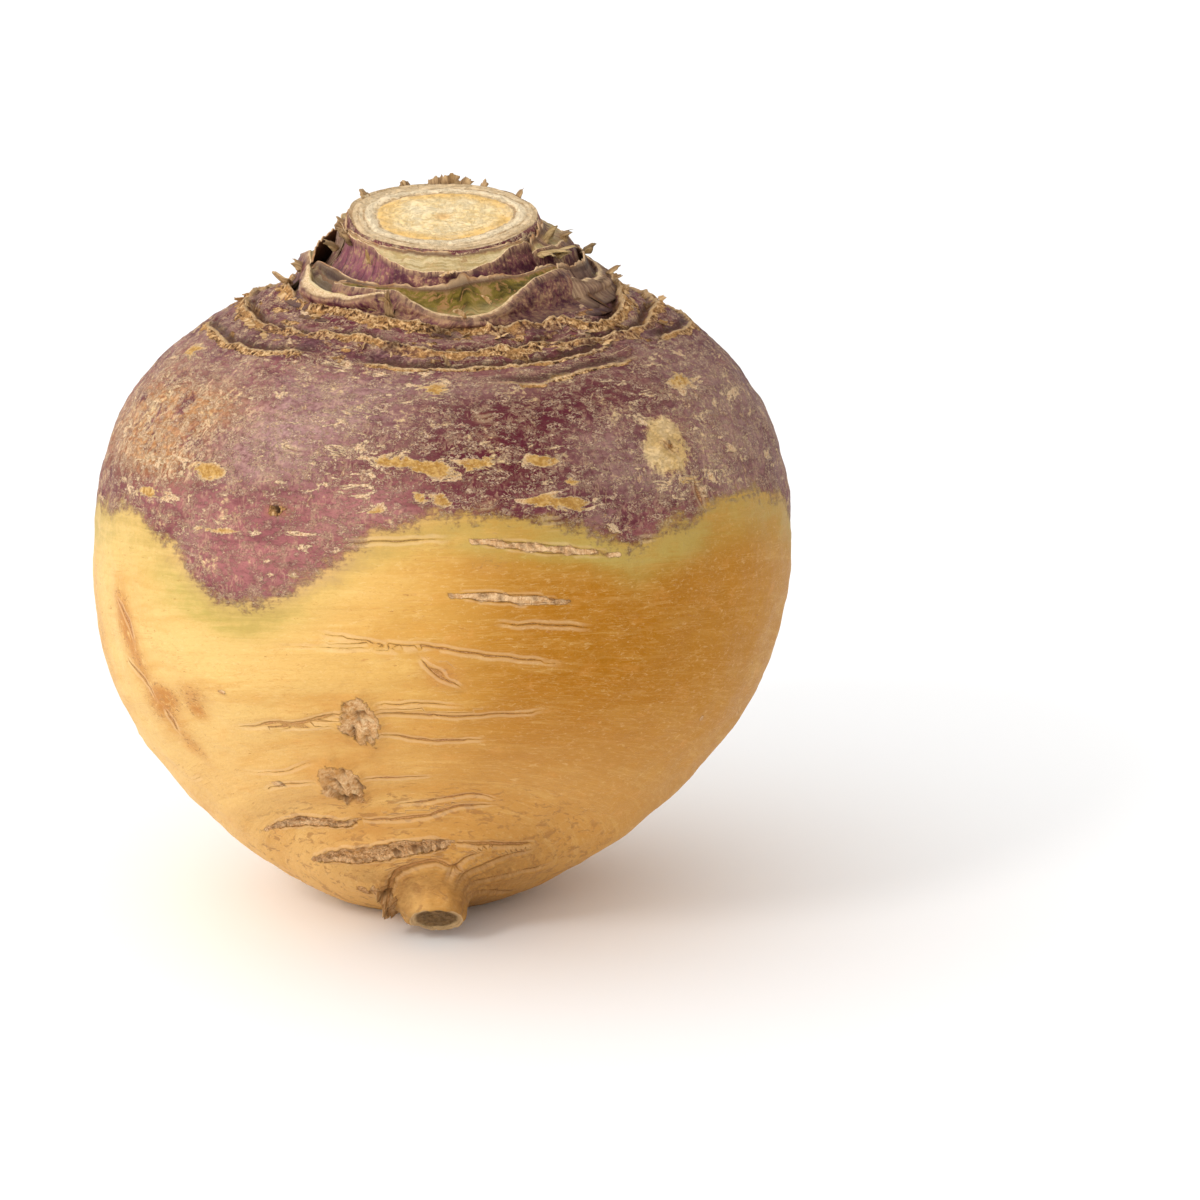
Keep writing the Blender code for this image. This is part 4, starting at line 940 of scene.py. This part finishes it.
def build_leaf_material():
    k, g, outer, inner, dry, mid, fine, grit, along, across, colour = leaf_material()
    edge = k.math("ABSOLUTE", k.math("ADD", k.math("ADD", outer, 0.08), k.math("MULTIPLY", k.math("SUBTRACT", fine, 0.5), 0.35)))
    thick = k.attribute("rim_width")
    rim = k.step(k.math("DIVIDE", edge, thick), 1.0, 0.55)
    colour = k.mix(k.math("MULTIPLY", rim, 0.9), colour, k.mix(k.step(grit, 0.4, 0.6), (0.60, 0.385, 0.185), (0.88, 0.655, 0.39)))
    top_edge = k.step(k.math("ABSOLUTE", k.math("ADD", inner, k.math("MULTIPLY", k.math("SUBTRACT", fine, 0.5), 0.5))), 0.45, 0.15)
    colour = k.mix(k.math("MULTIPLY", top_edge, 0.85), colour, k.mix(k.step(mid, 0.4, 0.6), (0.43, 0.220, 0.095), (0.74, 0.50, 0.28)))
    colour = k.mix(k.attribute("shade"), colour, (0.060, 0.030, 0.024))
    rough = k.step(outer, -0.2, 0.2, 0.42, 0.40)
    rough = k.math("ADD", rough, k.math("ADD", k.math("MULTIPLY", dry, 0.3), k.math("MULTIPLY", k.math("SUBTRACT", fine, 0.5), 0.3)), clamp=True)
    relief = k.math("ADD", k.math("MULTIPLY", along, 0.5), k.math("ADD", k.math("MULTIPLY", fine, 0.5), k.math("MULTIPLY", across, 0.5)))
    normal = k.bump(relief, 0.7, 0.0005)
    k.shader.inputs["Specular IOR Level"].default_value = 0.4
    k.shader.inputs["IOR"].default_value = 1.24
    return k.finish(colour, rough, normal)


leaf_skin = build_leaf_material()


def layer_inside(layer, t):
    neck = radius_at(np.minimum(t, SPINE_LENGTH)) + 0.15
    return neck if layer == 0 else np.maximum(neck, 24.2 + 0.56 * (105.0 - t))


def leaf_base(name, first, last, tops, lows, widths, foot, layer, seed, dig, dry, greenness, rim_width, membrane, peaks=(), hollow_out=0.0, tuck=0.5, flare=0.0, magenta_and_left_light=0.0, tan=0.3, gnaw=0.22, ribbed=1.0):
    """A cut leaf stalk, by its cut's upper edge, lower edge and width at angles from the front.
    The section runs up its inner side, over a thin membrane, across the cut face, over the rim and down the skin."""
    cols = max(int((last - first) * 1.6), 60)
    u = np.linspace(-1, 1, cols)[:, None]
    a = (first + last) / 2 + (last - first) / 2 * u
    p = np.concatenate([np.cos(np.radians(a)) * 22, np.sin(np.radians(a)) * 22, a * 0 + seed * 5.1], 1)
    ends = smooth(1 - np.abs(u), 0.0, 0.16)
    most = max(w for _, w in widths)
    wide = np.maximum(curve(widths)(a) * (1 + 0.12 * noise(p / 4.0, seed)[:, None]), 0.5) * (0.25 + 0.75 * ends)
    full = np.clip((wide - 0.5) / (most - 0.5), 0, 1) ** 0.6
    high = curve(tops)(a) + 0.25 * noise(p / 4.0, seed + 1)[:, None]
    low = curve(lows)(a) + (gnaw + 0.4 * dry) * noise(p / 2.6, seed + 2)[:, None] + 0.12 * noise(p / 0.9, seed + 9)[:, None]
    low = np.minimum(low, high - 0.12)
    high = high - 1.2 * (1 - ends)
    low = low - 1.2 * (1 - ends)
    stand = membrane * (0.45 + 0.9 * noise(p / 2.4, seed + 3)[:, None] + 0.7 * noise(p / 0.8, seed + 4)[:, None])
    for at, tall, w in peaks:
        stand = stand + tall * bump(a - at, w) * (1 + 0.35 * noise(p / 0.9, seed + 12)[:, None])
    stand = np.maximum(stand, 0.05) * np.clip(ends * 1.3, 0.1, 1)
    r_in, r_out = layer_inside(layer, high), layer_inside(layer, high) + wide
    face_length = np.hypot(wide, high - low)
    r, t, outer, inner, shade = [], [], [], [], []

    def add(rr, tt, o, i, s):
        r.append(np.broadcast_to(rr, u.shape)), t.append(np.broadcast_to(tt, u.shape))
        outer.append(np.broadcast_to(o, u.shape)), inner.append(np.broadcast_to(i, u.shape)), shade.append(np.broadcast_to(s, u.shape))

    for k in range(6):
        level = foot + (high - foot) * k / 5.0
        add(layer_inside(layer, level), level, -face_length, -3.0 + 0.4 * k, 0.5)
    add(r_in + 0.02, high + stand * 0.6, -face_length, -0.3, 0.0)
    add(r_in + 0.08 - 0.15 * stand, high + stand, -face_length, 0.0, 0.0)
    add(r_in + 0.34 - 0.12 * stand, high + stand * 0.85, -face_length, 0.1, 0.0)
    steps = 20
    for k in range(steps + 1):
        v = k / steps
        dip = dig * np.sin(np.pi * v) ** 0.8 * full + hollow_out * full * smooth(v, 0.05, 0.25) * (1 - smooth(v, 0.66, 0.84))
        veins = 0.12 * noise(np.stack([a[:, 0] / 6.0, np.full(cols, v * wide.mean() / 0.8), np.full(cols, seed * 1.0)], -1), seed + 5)[:, None]
        bumps = 0.22 * noise(p / 1.7 + np.array([0, 0, v * wide.mean() / 1.7]), seed + 6)[:, None]
        settle = smooth(v, 0.0, 0.2) * (1 - smooth(v, 0.88, 1.0))
        lift = 0.35 * rim_width * bump(v - 1.0, 0.12)
        rr = r_in + np.minimum(0.35, wide * 0.5) + (r_out - r_in - np.minimum(0.35, wide * 0.5)) * v
        tt = high + (low - high) * v - dip + (veins + bumps) * settle * (0.4 + 0.6 * full) + lift
        add(rr, tt, (v - 1.0) * face_length, v * face_length + 0.12, np.clip(0.75 * smooth(0.22 - v, 0.0, 0.25) + min(hollow_out, 1.0) * 0.85 * full * smooth(v, 0.02, 0.15) * (1 - smooth(v, 0.66, 0.86)), 0, 1))
    drop = low - foot
    for k in range(1, 17):
        v = k / 16.0
        swell = 0.45 * np.sin(np.pi * min(v * 1.2, 1.0)) * full
        ribs = 0.14 * noise(np.concatenate([a / 3.2, a * 0 + v * 1.2, a * 0 + seed], 1), seed + 7)[:, None] + 0.14 * noise(p / 2.5 + np.array([0, 0, v * 2.0]), seed + 8)[:, None]
        here = low - drop * v
        under = layer_inside(layer, here) + wide * (1 - tuck * v**1.3) + flare * v**1.4
        add(under + (swell + ribbed * ribs) * smooth(v, 0, 0.15) - 0.30 * bump(v - 0.12, 0.08) * full, here, drop * v + 0.05, face_length + drop * v, np.clip(0.75 * smooth(v, 0.62, 1.0) + 0.35 * bump(v - 0.10, 0.07), 0, 1))
    add(layer_inside(layer, foot) - 0.3, foot - 0.5, drop + 1.0, face_length + drop, 0.9)
    r, t = np.concatenate(r, 1), np.concatenate(t, 1)
    outer, inner, shade = np.concatenate(outer, 1), np.concatenate(inner, 1), np.concatenate(shade, 1)
    n = r.shape[1]
    pts = bend(np.broadcast_to(a, r.shape), r, t)
    i, j = np.meshgrid(np.arange(cols - 1), np.arange(n), indexing="ij")
    j2 = (j + 1) % n
    quads = np.stack([i * n + j, i * n + j2, (i + 1) * n + j2, (i + 1) * n + j], -1).reshape(-1, 4)
    faces = [tuple(q) for q in quads[:, ::-1].tolist()] + [tuple(range(n)), tuple(range((cols - 1) * n + n - 1, (cols - 1) * n - 1, -1))]
    length = np.cumsum(np.concatenate([np.zeros((cols, 1)), np.linalg.norm(np.diff(pts, axis=1), axis=2)], 1), 1)
    grown = np.stack([np.broadcast_to(np.radians(a) * 22.0, r.shape), length, np.full(r.shape, seed * 3.3)], -1).reshape(-1, 3)
    flat = lambda x: np.broadcast_to(x, r.shape).ravel()
    dryness = np.clip(dry + 0.35 * noise(p / 3.5, seed + 10)[:, None] + 0.35 * (1 - ends), 0, 1)
    piece = make(name, pts.reshape(-1, 3), faces, leaf_skin, dict(outer_d=outer.ravel(), inner_d=inner.ravel(), dry=flat(dryness), greenness=flat(greenness), rim_width=flat(rim_width * (0.7 + 0.5 * noise(p / 2.0, seed + 11)[:, None] ** 2)), shade=np.clip(shade.ravel(), 0, 1), magenta_and_left_light=flat(magenta_and_left_light * smooth(-a, 15, 45)), tan=flat(tan)), grown)
    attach(piece, "root")
    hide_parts(name.replace("_grown", ""))
    return piece


leaf_base("leaf_base_1_grown", -84, 62, [(-84, 114.0), (-60, 114.3), (0, 114.4), (50, 114.3), (62, 114.2)],
          [(-84, 113.3), (-60, 113.7), (-48, 114.0), (-32, 112.9), (-11, 111.5), (5, 111.6), (22, 112.7), (43, 114.0), (62, 113.8)],
          [(-84, 0.7), (-60, 0.6), (-47, 0.8), (-32, 2.6), (-11, 4.5), (5, 4.6), (22, 3.2), (43, 0.8), (62, 0.6)],
          104.2, 0, 1, 0.30, 0.05, 0.30, 0.26, 0.25, [(2, 0.5, 7)], tuck=0.6, magenta_and_left_light=0.9, tan=0.25)
leaf_base("leaf_base_2_grown", 54, 136, [(54, 112.6), (70, 113.2), (95, 112.8), (136, 112.0)],
          [(54, 112.2), (66, 111.8), (82, 110.8), (100, 110.6), (120, 111.2), (136, 111.8)],
          [(54, 0.8), (66, 2.4), (82, 3.4), (100, 3.4), (120, 2.0), (136, 0.7)],
          104.2, 0, 2, 0.4, 0.55, 0.5, 0.32, 0.7, [(64, 1.0, 4), (78, 1.4, 4)], tuck=0.6)
leaf_base("leaf_base_3_grown", -206, -88, [(-206, 112.8), (-180, 113.4), (-140, 113.6), (-110, 113.4), (-88, 113.2)],
          [(-206, 112.4), (-180, 111.9), (-147, 111.4), (-120, 111.8), (-100, 112.6), (-88, 112.8)],
          [(-206, 0.8), (-180, 3.2), (-147, 4.2), (-120, 3.2), (-100, 1.4), (-88, 0.7)],
          104.2, 0, 3, 0.5, 0.5, 0.5, 0.32, 0.8, [(-105, 1.0, 5)], tuck=0.6)
leaf_base("leaf_base_4_grown", -54, 62, [(-54, 107.4), (-42, 106.9), (-20, 107.4), (-3, 107.4), (6, 108.4), (14, 109.3), (30, 109.2), (45, 109.6), (62, 109.2)],
          [(-54, 107.0), (-42, 106.4), (-22, 106.8), (-13, 105.0), (-3, 103.5), (8, 102.8), (15, 103.5), (22, 105.0), (30, 107.0), (38, 108.6), (62, 108.8)],
          [(-54, 1.2), (-40, 1.9), (-22, 1.8), (-13, 3.6), (-3, 6.2), (7, 7.0), (15, 6.2), (22, 4.6), (30, 3.2), (38, 2.2), (62, 1.0)],
          100.4, 1, 4, 0.9, 0.04, 1.0, 0.26, 0.7, [(5, 2.4, 4.0), (11, 1.3, 4), (-3, 0.9, 4), (22, 0.6, 5)], tuck=0.98, magenta_and_left_light=0.25, tan=0.45)
leaf_base("leaf_base_5_grown", -80, -20, [(-80, 107.8), (-66, 108.6), (-56, 108.4), (-45, 107.4), (-30, 106.9), (-20, 106.6)],
          [(-80, 107.4), (-66, 106.7), (-56, 105.3), (-44, 104.9), (-34, 105.3), (-26, 106.2), (-20, 106.3)],
          [(-80, 1.0), (-66, 4.0), (-56, 5.0), (-44, 5.0), (-34, 4.0), (-26, 2.2), (-20, 1.6)],
          101.2, 1, 5, 0.3, 0.35, 0.1, 0.55, 0.2, [], 1.9, tuck=0.98, magenta_and_left_light=0.2, tan=0.5, ribbed=1.6)
leaf_base("leaf_base_6_grown", 52, 116, [(52, 108.6), (62, 108.0), (74, 107.2), (88, 107.0), (100, 106.6), (116, 106.4)],
          [(52, 107.8), (62, 105.9), (78, 104.4), (96, 104.4), (116, 105.9)],
          [(52, 0.8), (64, 1.8), (80, 2.6), (98, 2.4), (116, 0.9)],
          101.2, 1, 6, 0.5, 0.85, 0.4, 0.30, 0.9, [(60, 1.2, 3), (74, 0.8, 3), (88, 1.0, 4)], 0.8, tan=0.9, tuck=0.98, ribbed=3.0)
leaf_base("leaf_base_7_grown", 110, 182, [(110, 108.2), (130, 109.0), (150, 109.0), (182, 108.4)],
          [(110, 107.8), (126, 105.6), (145, 104.4), (164, 105.6), (182, 108.0)],
          [(110, 0.8), (126, 3.6), (145, 5.8), (164, 4.0), (182, 0.8)],
          100.6, 1, 7, 0.8, 0.25, 0.8, 0.30, 0.6, [(150, 1.0, 7)], tuck=0.98)
leaf_base("leaf_base_8_grown", -180, -84, [(-180, 108.4), (-155, 109.2), (-130, 109.2), (-105, 108.6), (-84, 108.0)],
          [(-180, 108.0), (-160, 105.6), (-138, 104.3), (-116, 105.4), (-96, 107.4), (-84, 107.6)],
          [(-180, 0.8), (-160, 3.8), (-138, 5.8), (-116, 4.2), (-96, 1.6), (-84, 0.9)],
          100.6, 1, 8, 0.7, 0.35, 0.7, 0.34, 0.6, [(-150, 1.0, 6)], 0.5, tuck=0.98)


# ---------------------------------------------------------------- dried flakes, spikes and torn fibres


def husk_material():
    k = Nodes("dried_husk")
    g = k.attribute("grown", vector=True)
    stripes = k.noise(k.scaled(g, (2.2, 0.35, 1.0)), 1.0, 5.0, 0.6)
    mid = k.noise(g, 0.8, 4.0, 0.6)
    tone = k.attribute("tone")
    colour = k.mix(k.step(stripes, 0.36, 0.64), (0.150, 0.075, 0.030), (0.45, 0.270, 0.125))
    colour = k.mix(k.step(k.math("ADD", tone, k.math("MULTIPLY", k.math("SUBTRACT", mid, 0.5), 0.6)), 0.35, 0.7), colour, k.mix(k.step(stripes, 0.4, 0.6), (0.46, 0.25, 0.085), (0.74, 0.50, 0.26)))
    colour = k.mix(k.math("MULTIPLY", k.attribute("moss"), k.step(mid, 0.35, 0.6, 0.4, 1.0)), colour, (0.28, 0.225, 0.075))
    normal = k.bump(stripes, 0.7, 0.0004)
    k.shader.inputs["Specular IOR Level"].default_value = 0.3
    return k.finish(colour, k.step(mid, 0.3, 0.7, 0.65, 0.85), normal)


husk_skin = husk_material()
_pts, _faces, _grown, _tone, _moss = [], [], [], [], []


def shard(front, r, t, tall, wide, out, curl, seed, twist=0.0, lean=0.0, tone=0.5, moss=0.0, cup=0.3, point=0.8, thick=0.22, jagged=0.14):
    """One dried flake, standing on the point (front, r, t): out leans it away from the neck, curl rolls its tip, lean tips it sideways."""
    foot = bend(front, r, t)
    up = bend(front, r, t + 0.5) - bend(front, r, t - 0.5)
    away = bend(front, r + 1.0, t) - foot
    side = bend(front + 1.0, r, t) - bend(front - 1.0, r, t)
    up, away, side = (x / np.linalg.norm(x) for x in (up, away, side))
    nv, nu = 9, 7
    base = sum(len(x) for x in _pts)
    v = np.linspace(0, 1, nv)[:, None]
    w = np.linspace(-1, 1, nu)[None, :]
    q = np.stack([v * 3 + 0 * w, w * 2 + 0 * v, 0 * v + 0 * w + seed * 1.7], -1)
    width = wide / 2 * (1 - v**1.6 * point) * (1 + 0.30 * noise(q * [1.3, 0, 1], seed))
    bend_angle = rad(out) + rad(curl) * v
    step = tall / (nv - 1)
    y = np.concatenate([[[0.0]], np.cumsum(np.cos(bend_angle[:-1]), 0) * step])
    z = np.concatenate([[[0.0]], np.cumsum(np.sin(bend_angle[:-1]), 0) * step])
    x = width * w
    jag = jagged * tall * noise(np.stack([w * 2.2 + 0 * v, 0 * v * w, 0 * v * w + seed], -1), seed + 1) * v**2
    y, z = y + 0 * w + jag, z + cup * wide * 0.5 * w**2 + 0.12 * noise(q, seed + 2) * wide * 0.4
    c, s = math.cos(rad(lean)), math.sin(rad(lean))
    x, y = x * c + y * s, y * c - x * s
    tw = rad(twist) * v
    x, z = x * np.cos(tw) - z * np.sin(tw) * 0.4, z + x * np.sin(tw) * 0.6
    front_side = foot + x[..., None] * side + y[..., None] * up + z[..., None] * away
    gap = thick * (1 - 0.6 * v) + 0 * w
    back_side = front_side - gap[..., None] * away
    pts = np.concatenate([front_side.reshape(-1, 3), back_side.reshape(-1, 3)])
    n = nv * nu
    for i in range(nv - 1):
        for j in range(nu - 1):
            k = i * nu + j
            _faces.append((base + k, base + k + 1, base + k + nu + 1, base + k + nu))
            _faces.append((base + n + k, base + n + k + nu, base + n + k + nu + 1, base + n + k + 1))
    ring = [j for j in range(nu)] + [i * nu + nu - 1 for i in range(1, nv)] + [(nv - 1) * nu + j for j in range(nu - 2, -1, -1)] + [i * nu for i in range(nv - 2, 0, -1)]
    for a, b in zip(ring, ring[1:] + ring[:1]):
        _faces.append((base + b, base + a, base + n + a, base + n + b))
    _pts.append(pts)
    _grown.append(np.stack([np.tile(x.ravel(), 2) + seed * 9, np.tile(y.ravel(), 2), np.full(2 * n, seed * 2.0)], -1))
    _tone.append(np.full(2 * n, tone))
    _moss.append(np.full(2 * n, moss))


# Round the far edge of the cut.
for a, tall, wide, out, lean in ((176, 1.3, 4.6, -6, 14), (-176, 0.9, 3.0, 18, 30), (166, 0.8, 3.6, 10, 40), (154, 1.1, 3.0, 30, 55), (128, 1.4, 2.6, 30, 34), (-156, 0.9, 2.4, 20, -20), (-128, 1.2, 4.0, 34, -36)):
    shard(a, 15.9, 113.8, tall + 0.9, wide, out, 34, int(a) + 400, 10, lean, 0.45, 0.1, 0.4, 0.5)
# Dried flaps: left, and the green-brown ones on the right.
shard(-78, 17.0, 111.6, 2.2, 6.5, 8, 30, 501, 0, -6, 0.20, 0.1, 0.2, 0.35, 0.8, 0.03)
shard(-98, 17.4, 111.4, 2.0, 5.5, 12, 36, 502, 0, 6, 0.3, 0.1, 0.2, 0.4, 0.8, 0.03)
shard(-86, 19.0, 109.4, 2.0, 4.0, 34, 40, 521, 6, 0, 0.15, 0.2, 0.3, 0.4, 0.6, 0.05)
shard(60, 18.4, 110.8, 2.8, 6.4, 50, 66, 503, 10, 6, 0.85, 0.55, 0.7, 0.3, 0.6, 0.05)
shard(76, 17.6, 111.2, 3.4, 4.4, 16, 30, 504, -8, 6, 0.45, 0.40, 0.3, 0.75, 0.8, 0.04)
shard(70, 19.8, 109.8, 2.4, 4.4, 40, 60, 522, 10, -10, 0.8, 0.5, 0.6, 0.3, 0.6, 0.05)
shard(92, 19.2, 109.8, 2.6, 6.2, 26, 44, 505, 6, 8, 0.30, 0.2, 0.3, 0.40, 0.8, 0.04)
shard(96, 23.6, 107.0, 2.2, 5.0, 24, 36, 506, 6, 10, 0.30, 0.3, 0.3, 0.5, 0.8, 0.05)
shard(88, 27.4, 104.2, 2.0, 4.6, 34, 30, 507, 6, 8, 0.45, 0.1, 0.3, 0.5, 0.7, 0.05)
shard(-86, 27.4, 103.2, 3.0, 3.4, 60, -22, 509, 4, -30, 0.6, 0.1, 0.3, 0.8, 0.6, 0.06)
shard(-94, 25.0, 104.8, 1.9, 4.4, 34, 30, 510, 0, 8, 0.5, 0.1, 0.3, 0.5, 0.7, 0.05)
shard(-20, 28.8, 102.2, 4.4, 1.5, 4, 4, 511, 10, -3, 0.35, 0.1, 0.6, 0.5, 0.45)
shard(-22, 28.6, 105.2, 1.8, 2.0, 24, 60, 512, 0, 20, 0.7, 0.1, 0.6, 0.5, 0.4)
shard(-44, 18.8, 110.4, 2.6, 0.9, 4, 6, 513, 0, 4, 0.6, 0.2, 0.5, 0.6, 0.3)
shard(1, 22.0, 112.0, 2.2, 3.6, 70, 30, 516, 12, -16, 0.85, 0.0, 0.5, 0.4, 0.3)
shard(12, 28.4, 106.0, 2.6, 1.8, 60, 20, 517, 20, 50, 0.95, 0.0, 0.4, 0.6, 0.3)
shard(3, 30.2, 103.4, 1.6, 2.4, 30, 30, 518, 20, 30, 0.85, 0.0, 0.4, 0.5, 0.3)
shard(-27, 28.0, 103.0, 1.0, 1.6, 40, 50, 519, 0, 0, 0.7, 0.2, 0.5, 0.5, 0.3)
shard(-8, 31.0, 101.6, 1.3, 1.8, 60, 30, 520, 0, 0, 0.7, 0.2, 0.5, 0.5, 0.3)
# Torn edges along the rings, lying almost flat on the skin.
_dice = np.random.default_rng(11)
for n in range(70):
    a = _dice.uniform(-180, 180)
    line, lift = (RING_A, 1.5) if n % 2 else ([(-180, 98.6), (-100, 99.0), (-46, 98.3), (-20, 98.4), (0, 97.0), (14, 97.4), (50, 97.5), (100, 98.7), (140, 98.4)], 0.9)
    t = float(ring_curve(line)(a)) + _dice.uniform(-0.7, 0.2)
    shard(a, float(radius_at(t)) + lift * 0.6, t, _dice.uniform(0.8, 1.7), _dice.uniform(1.0, 2.6), _dice.uniform(58, 92), _dice.uniform(-20, 50), 600 + n, _dice.uniform(-30, 30), _dice.choice([0, 180]) + _dice.uniform(-50, 50), _dice.uniform(0.4, 1.0), 0.0, 0.4, _dice.uniform(0.3, 0.7), 0.25)
flakes = make("dried_flakes", np.concatenate(_pts), _faces, husk_skin, dict(tone=np.concatenate(_tone), moss=np.concatenate(_moss)), np.concatenate(_grown))
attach(flakes, "root")

# ---------------------------------------------------------------- floor, light and camera


def look(location, target):
    from mathutils import Vector

    return (Vector(target) - Vector(location)).to_track_quat("-Z", "Y").to_euler()


floor_material = Nodes("pale_floor")
floor_material.shader.inputs["Base Color"].default_value = (0.96, 0.96, 0.96, 1)
floor_material.shader.inputs["Roughness"].default_value = 0.8
floor_mesh = bpy.data.meshes.new("floor")
floor_mesh.from_pydata([(-6, -6, 0), (6, -6, 0), (6, 6, 0), (-6, 6, 0)], [], [(0, 1, 2, 3)])
floor_mesh.materials.append(floor_material.m)
floor = bpy.data.objects.new("floor", floor_mesh)
bpy.context.scene.collection.objects.link(floor)

# Soft light from all round, stronger from the left and the front.
world = bpy.data.worlds.new("studio")
world.use_nodes = True
tree = world.node_tree
background = tree.nodes["Background"]
background.inputs["Color"].default_value = (1.0, 1.0, 1.0, 1)
direction = tree.nodes.new("ShaderNodeTexCoord")
parts = tree.nodes.new("ShaderNodeSeparateXYZ")
tree.links.new(direction.outputs["Generated"], parts.inputs[0])


def scaled_sum(a, b, factor):
    n = tree.nodes.new("ShaderNodeMath")
    n.operation = "MULTIPLY_ADD"
    tree.links.new(a, n.inputs[0])
    n.inputs[1].default_value = factor
    if isinstance(b, float):
        n.inputs[2].default_value = b
    else:
        tree.links.new(b, n.inputs[2])
    return n.outputs[0]


sideways_light = scaled_sum(parts.outputs["X"], 1.10, -0.66)
tree.links.new(scaled_sum(parts.outputs["Y"], sideways_light, -0.18), background.inputs["Strength"])
bpy.context.scene.world = world


def area(name, location, size, power, target=(0, 0, 0.06)):
    light = bpy.data.lights.new(name, "AREA")
    light.shape = "DISK"
    light.size = size
    light.energy = power
    obj = bpy.data.objects.new(name, light)
    obj.location = location
    obj.rotation_euler = look(location, target)
    bpy.context.scene.collection.objects.link(obj)


area("key", (-0.85, -0.85, 0.95), 0.35, 5.0)

camera_data = bpy.data.cameras.new("camera")
camera_data.sensor_width = 36.0
camera_data.lens = 156.33
camera_data.clip_start = 0.05
camera = bpy.data.objects.new("camera", camera_data)
camera.location = (0.0036, -0.87073, 0.29454)
camera.rotation_euler = (rad(90 - 15.502), 0.0, rad(-1.7865))
bpy.context.scene.collection.objects.link(camera)
bpy.context.scene.camera = camera
bpy.context.scene.view_settings.view_transform = "Standard"
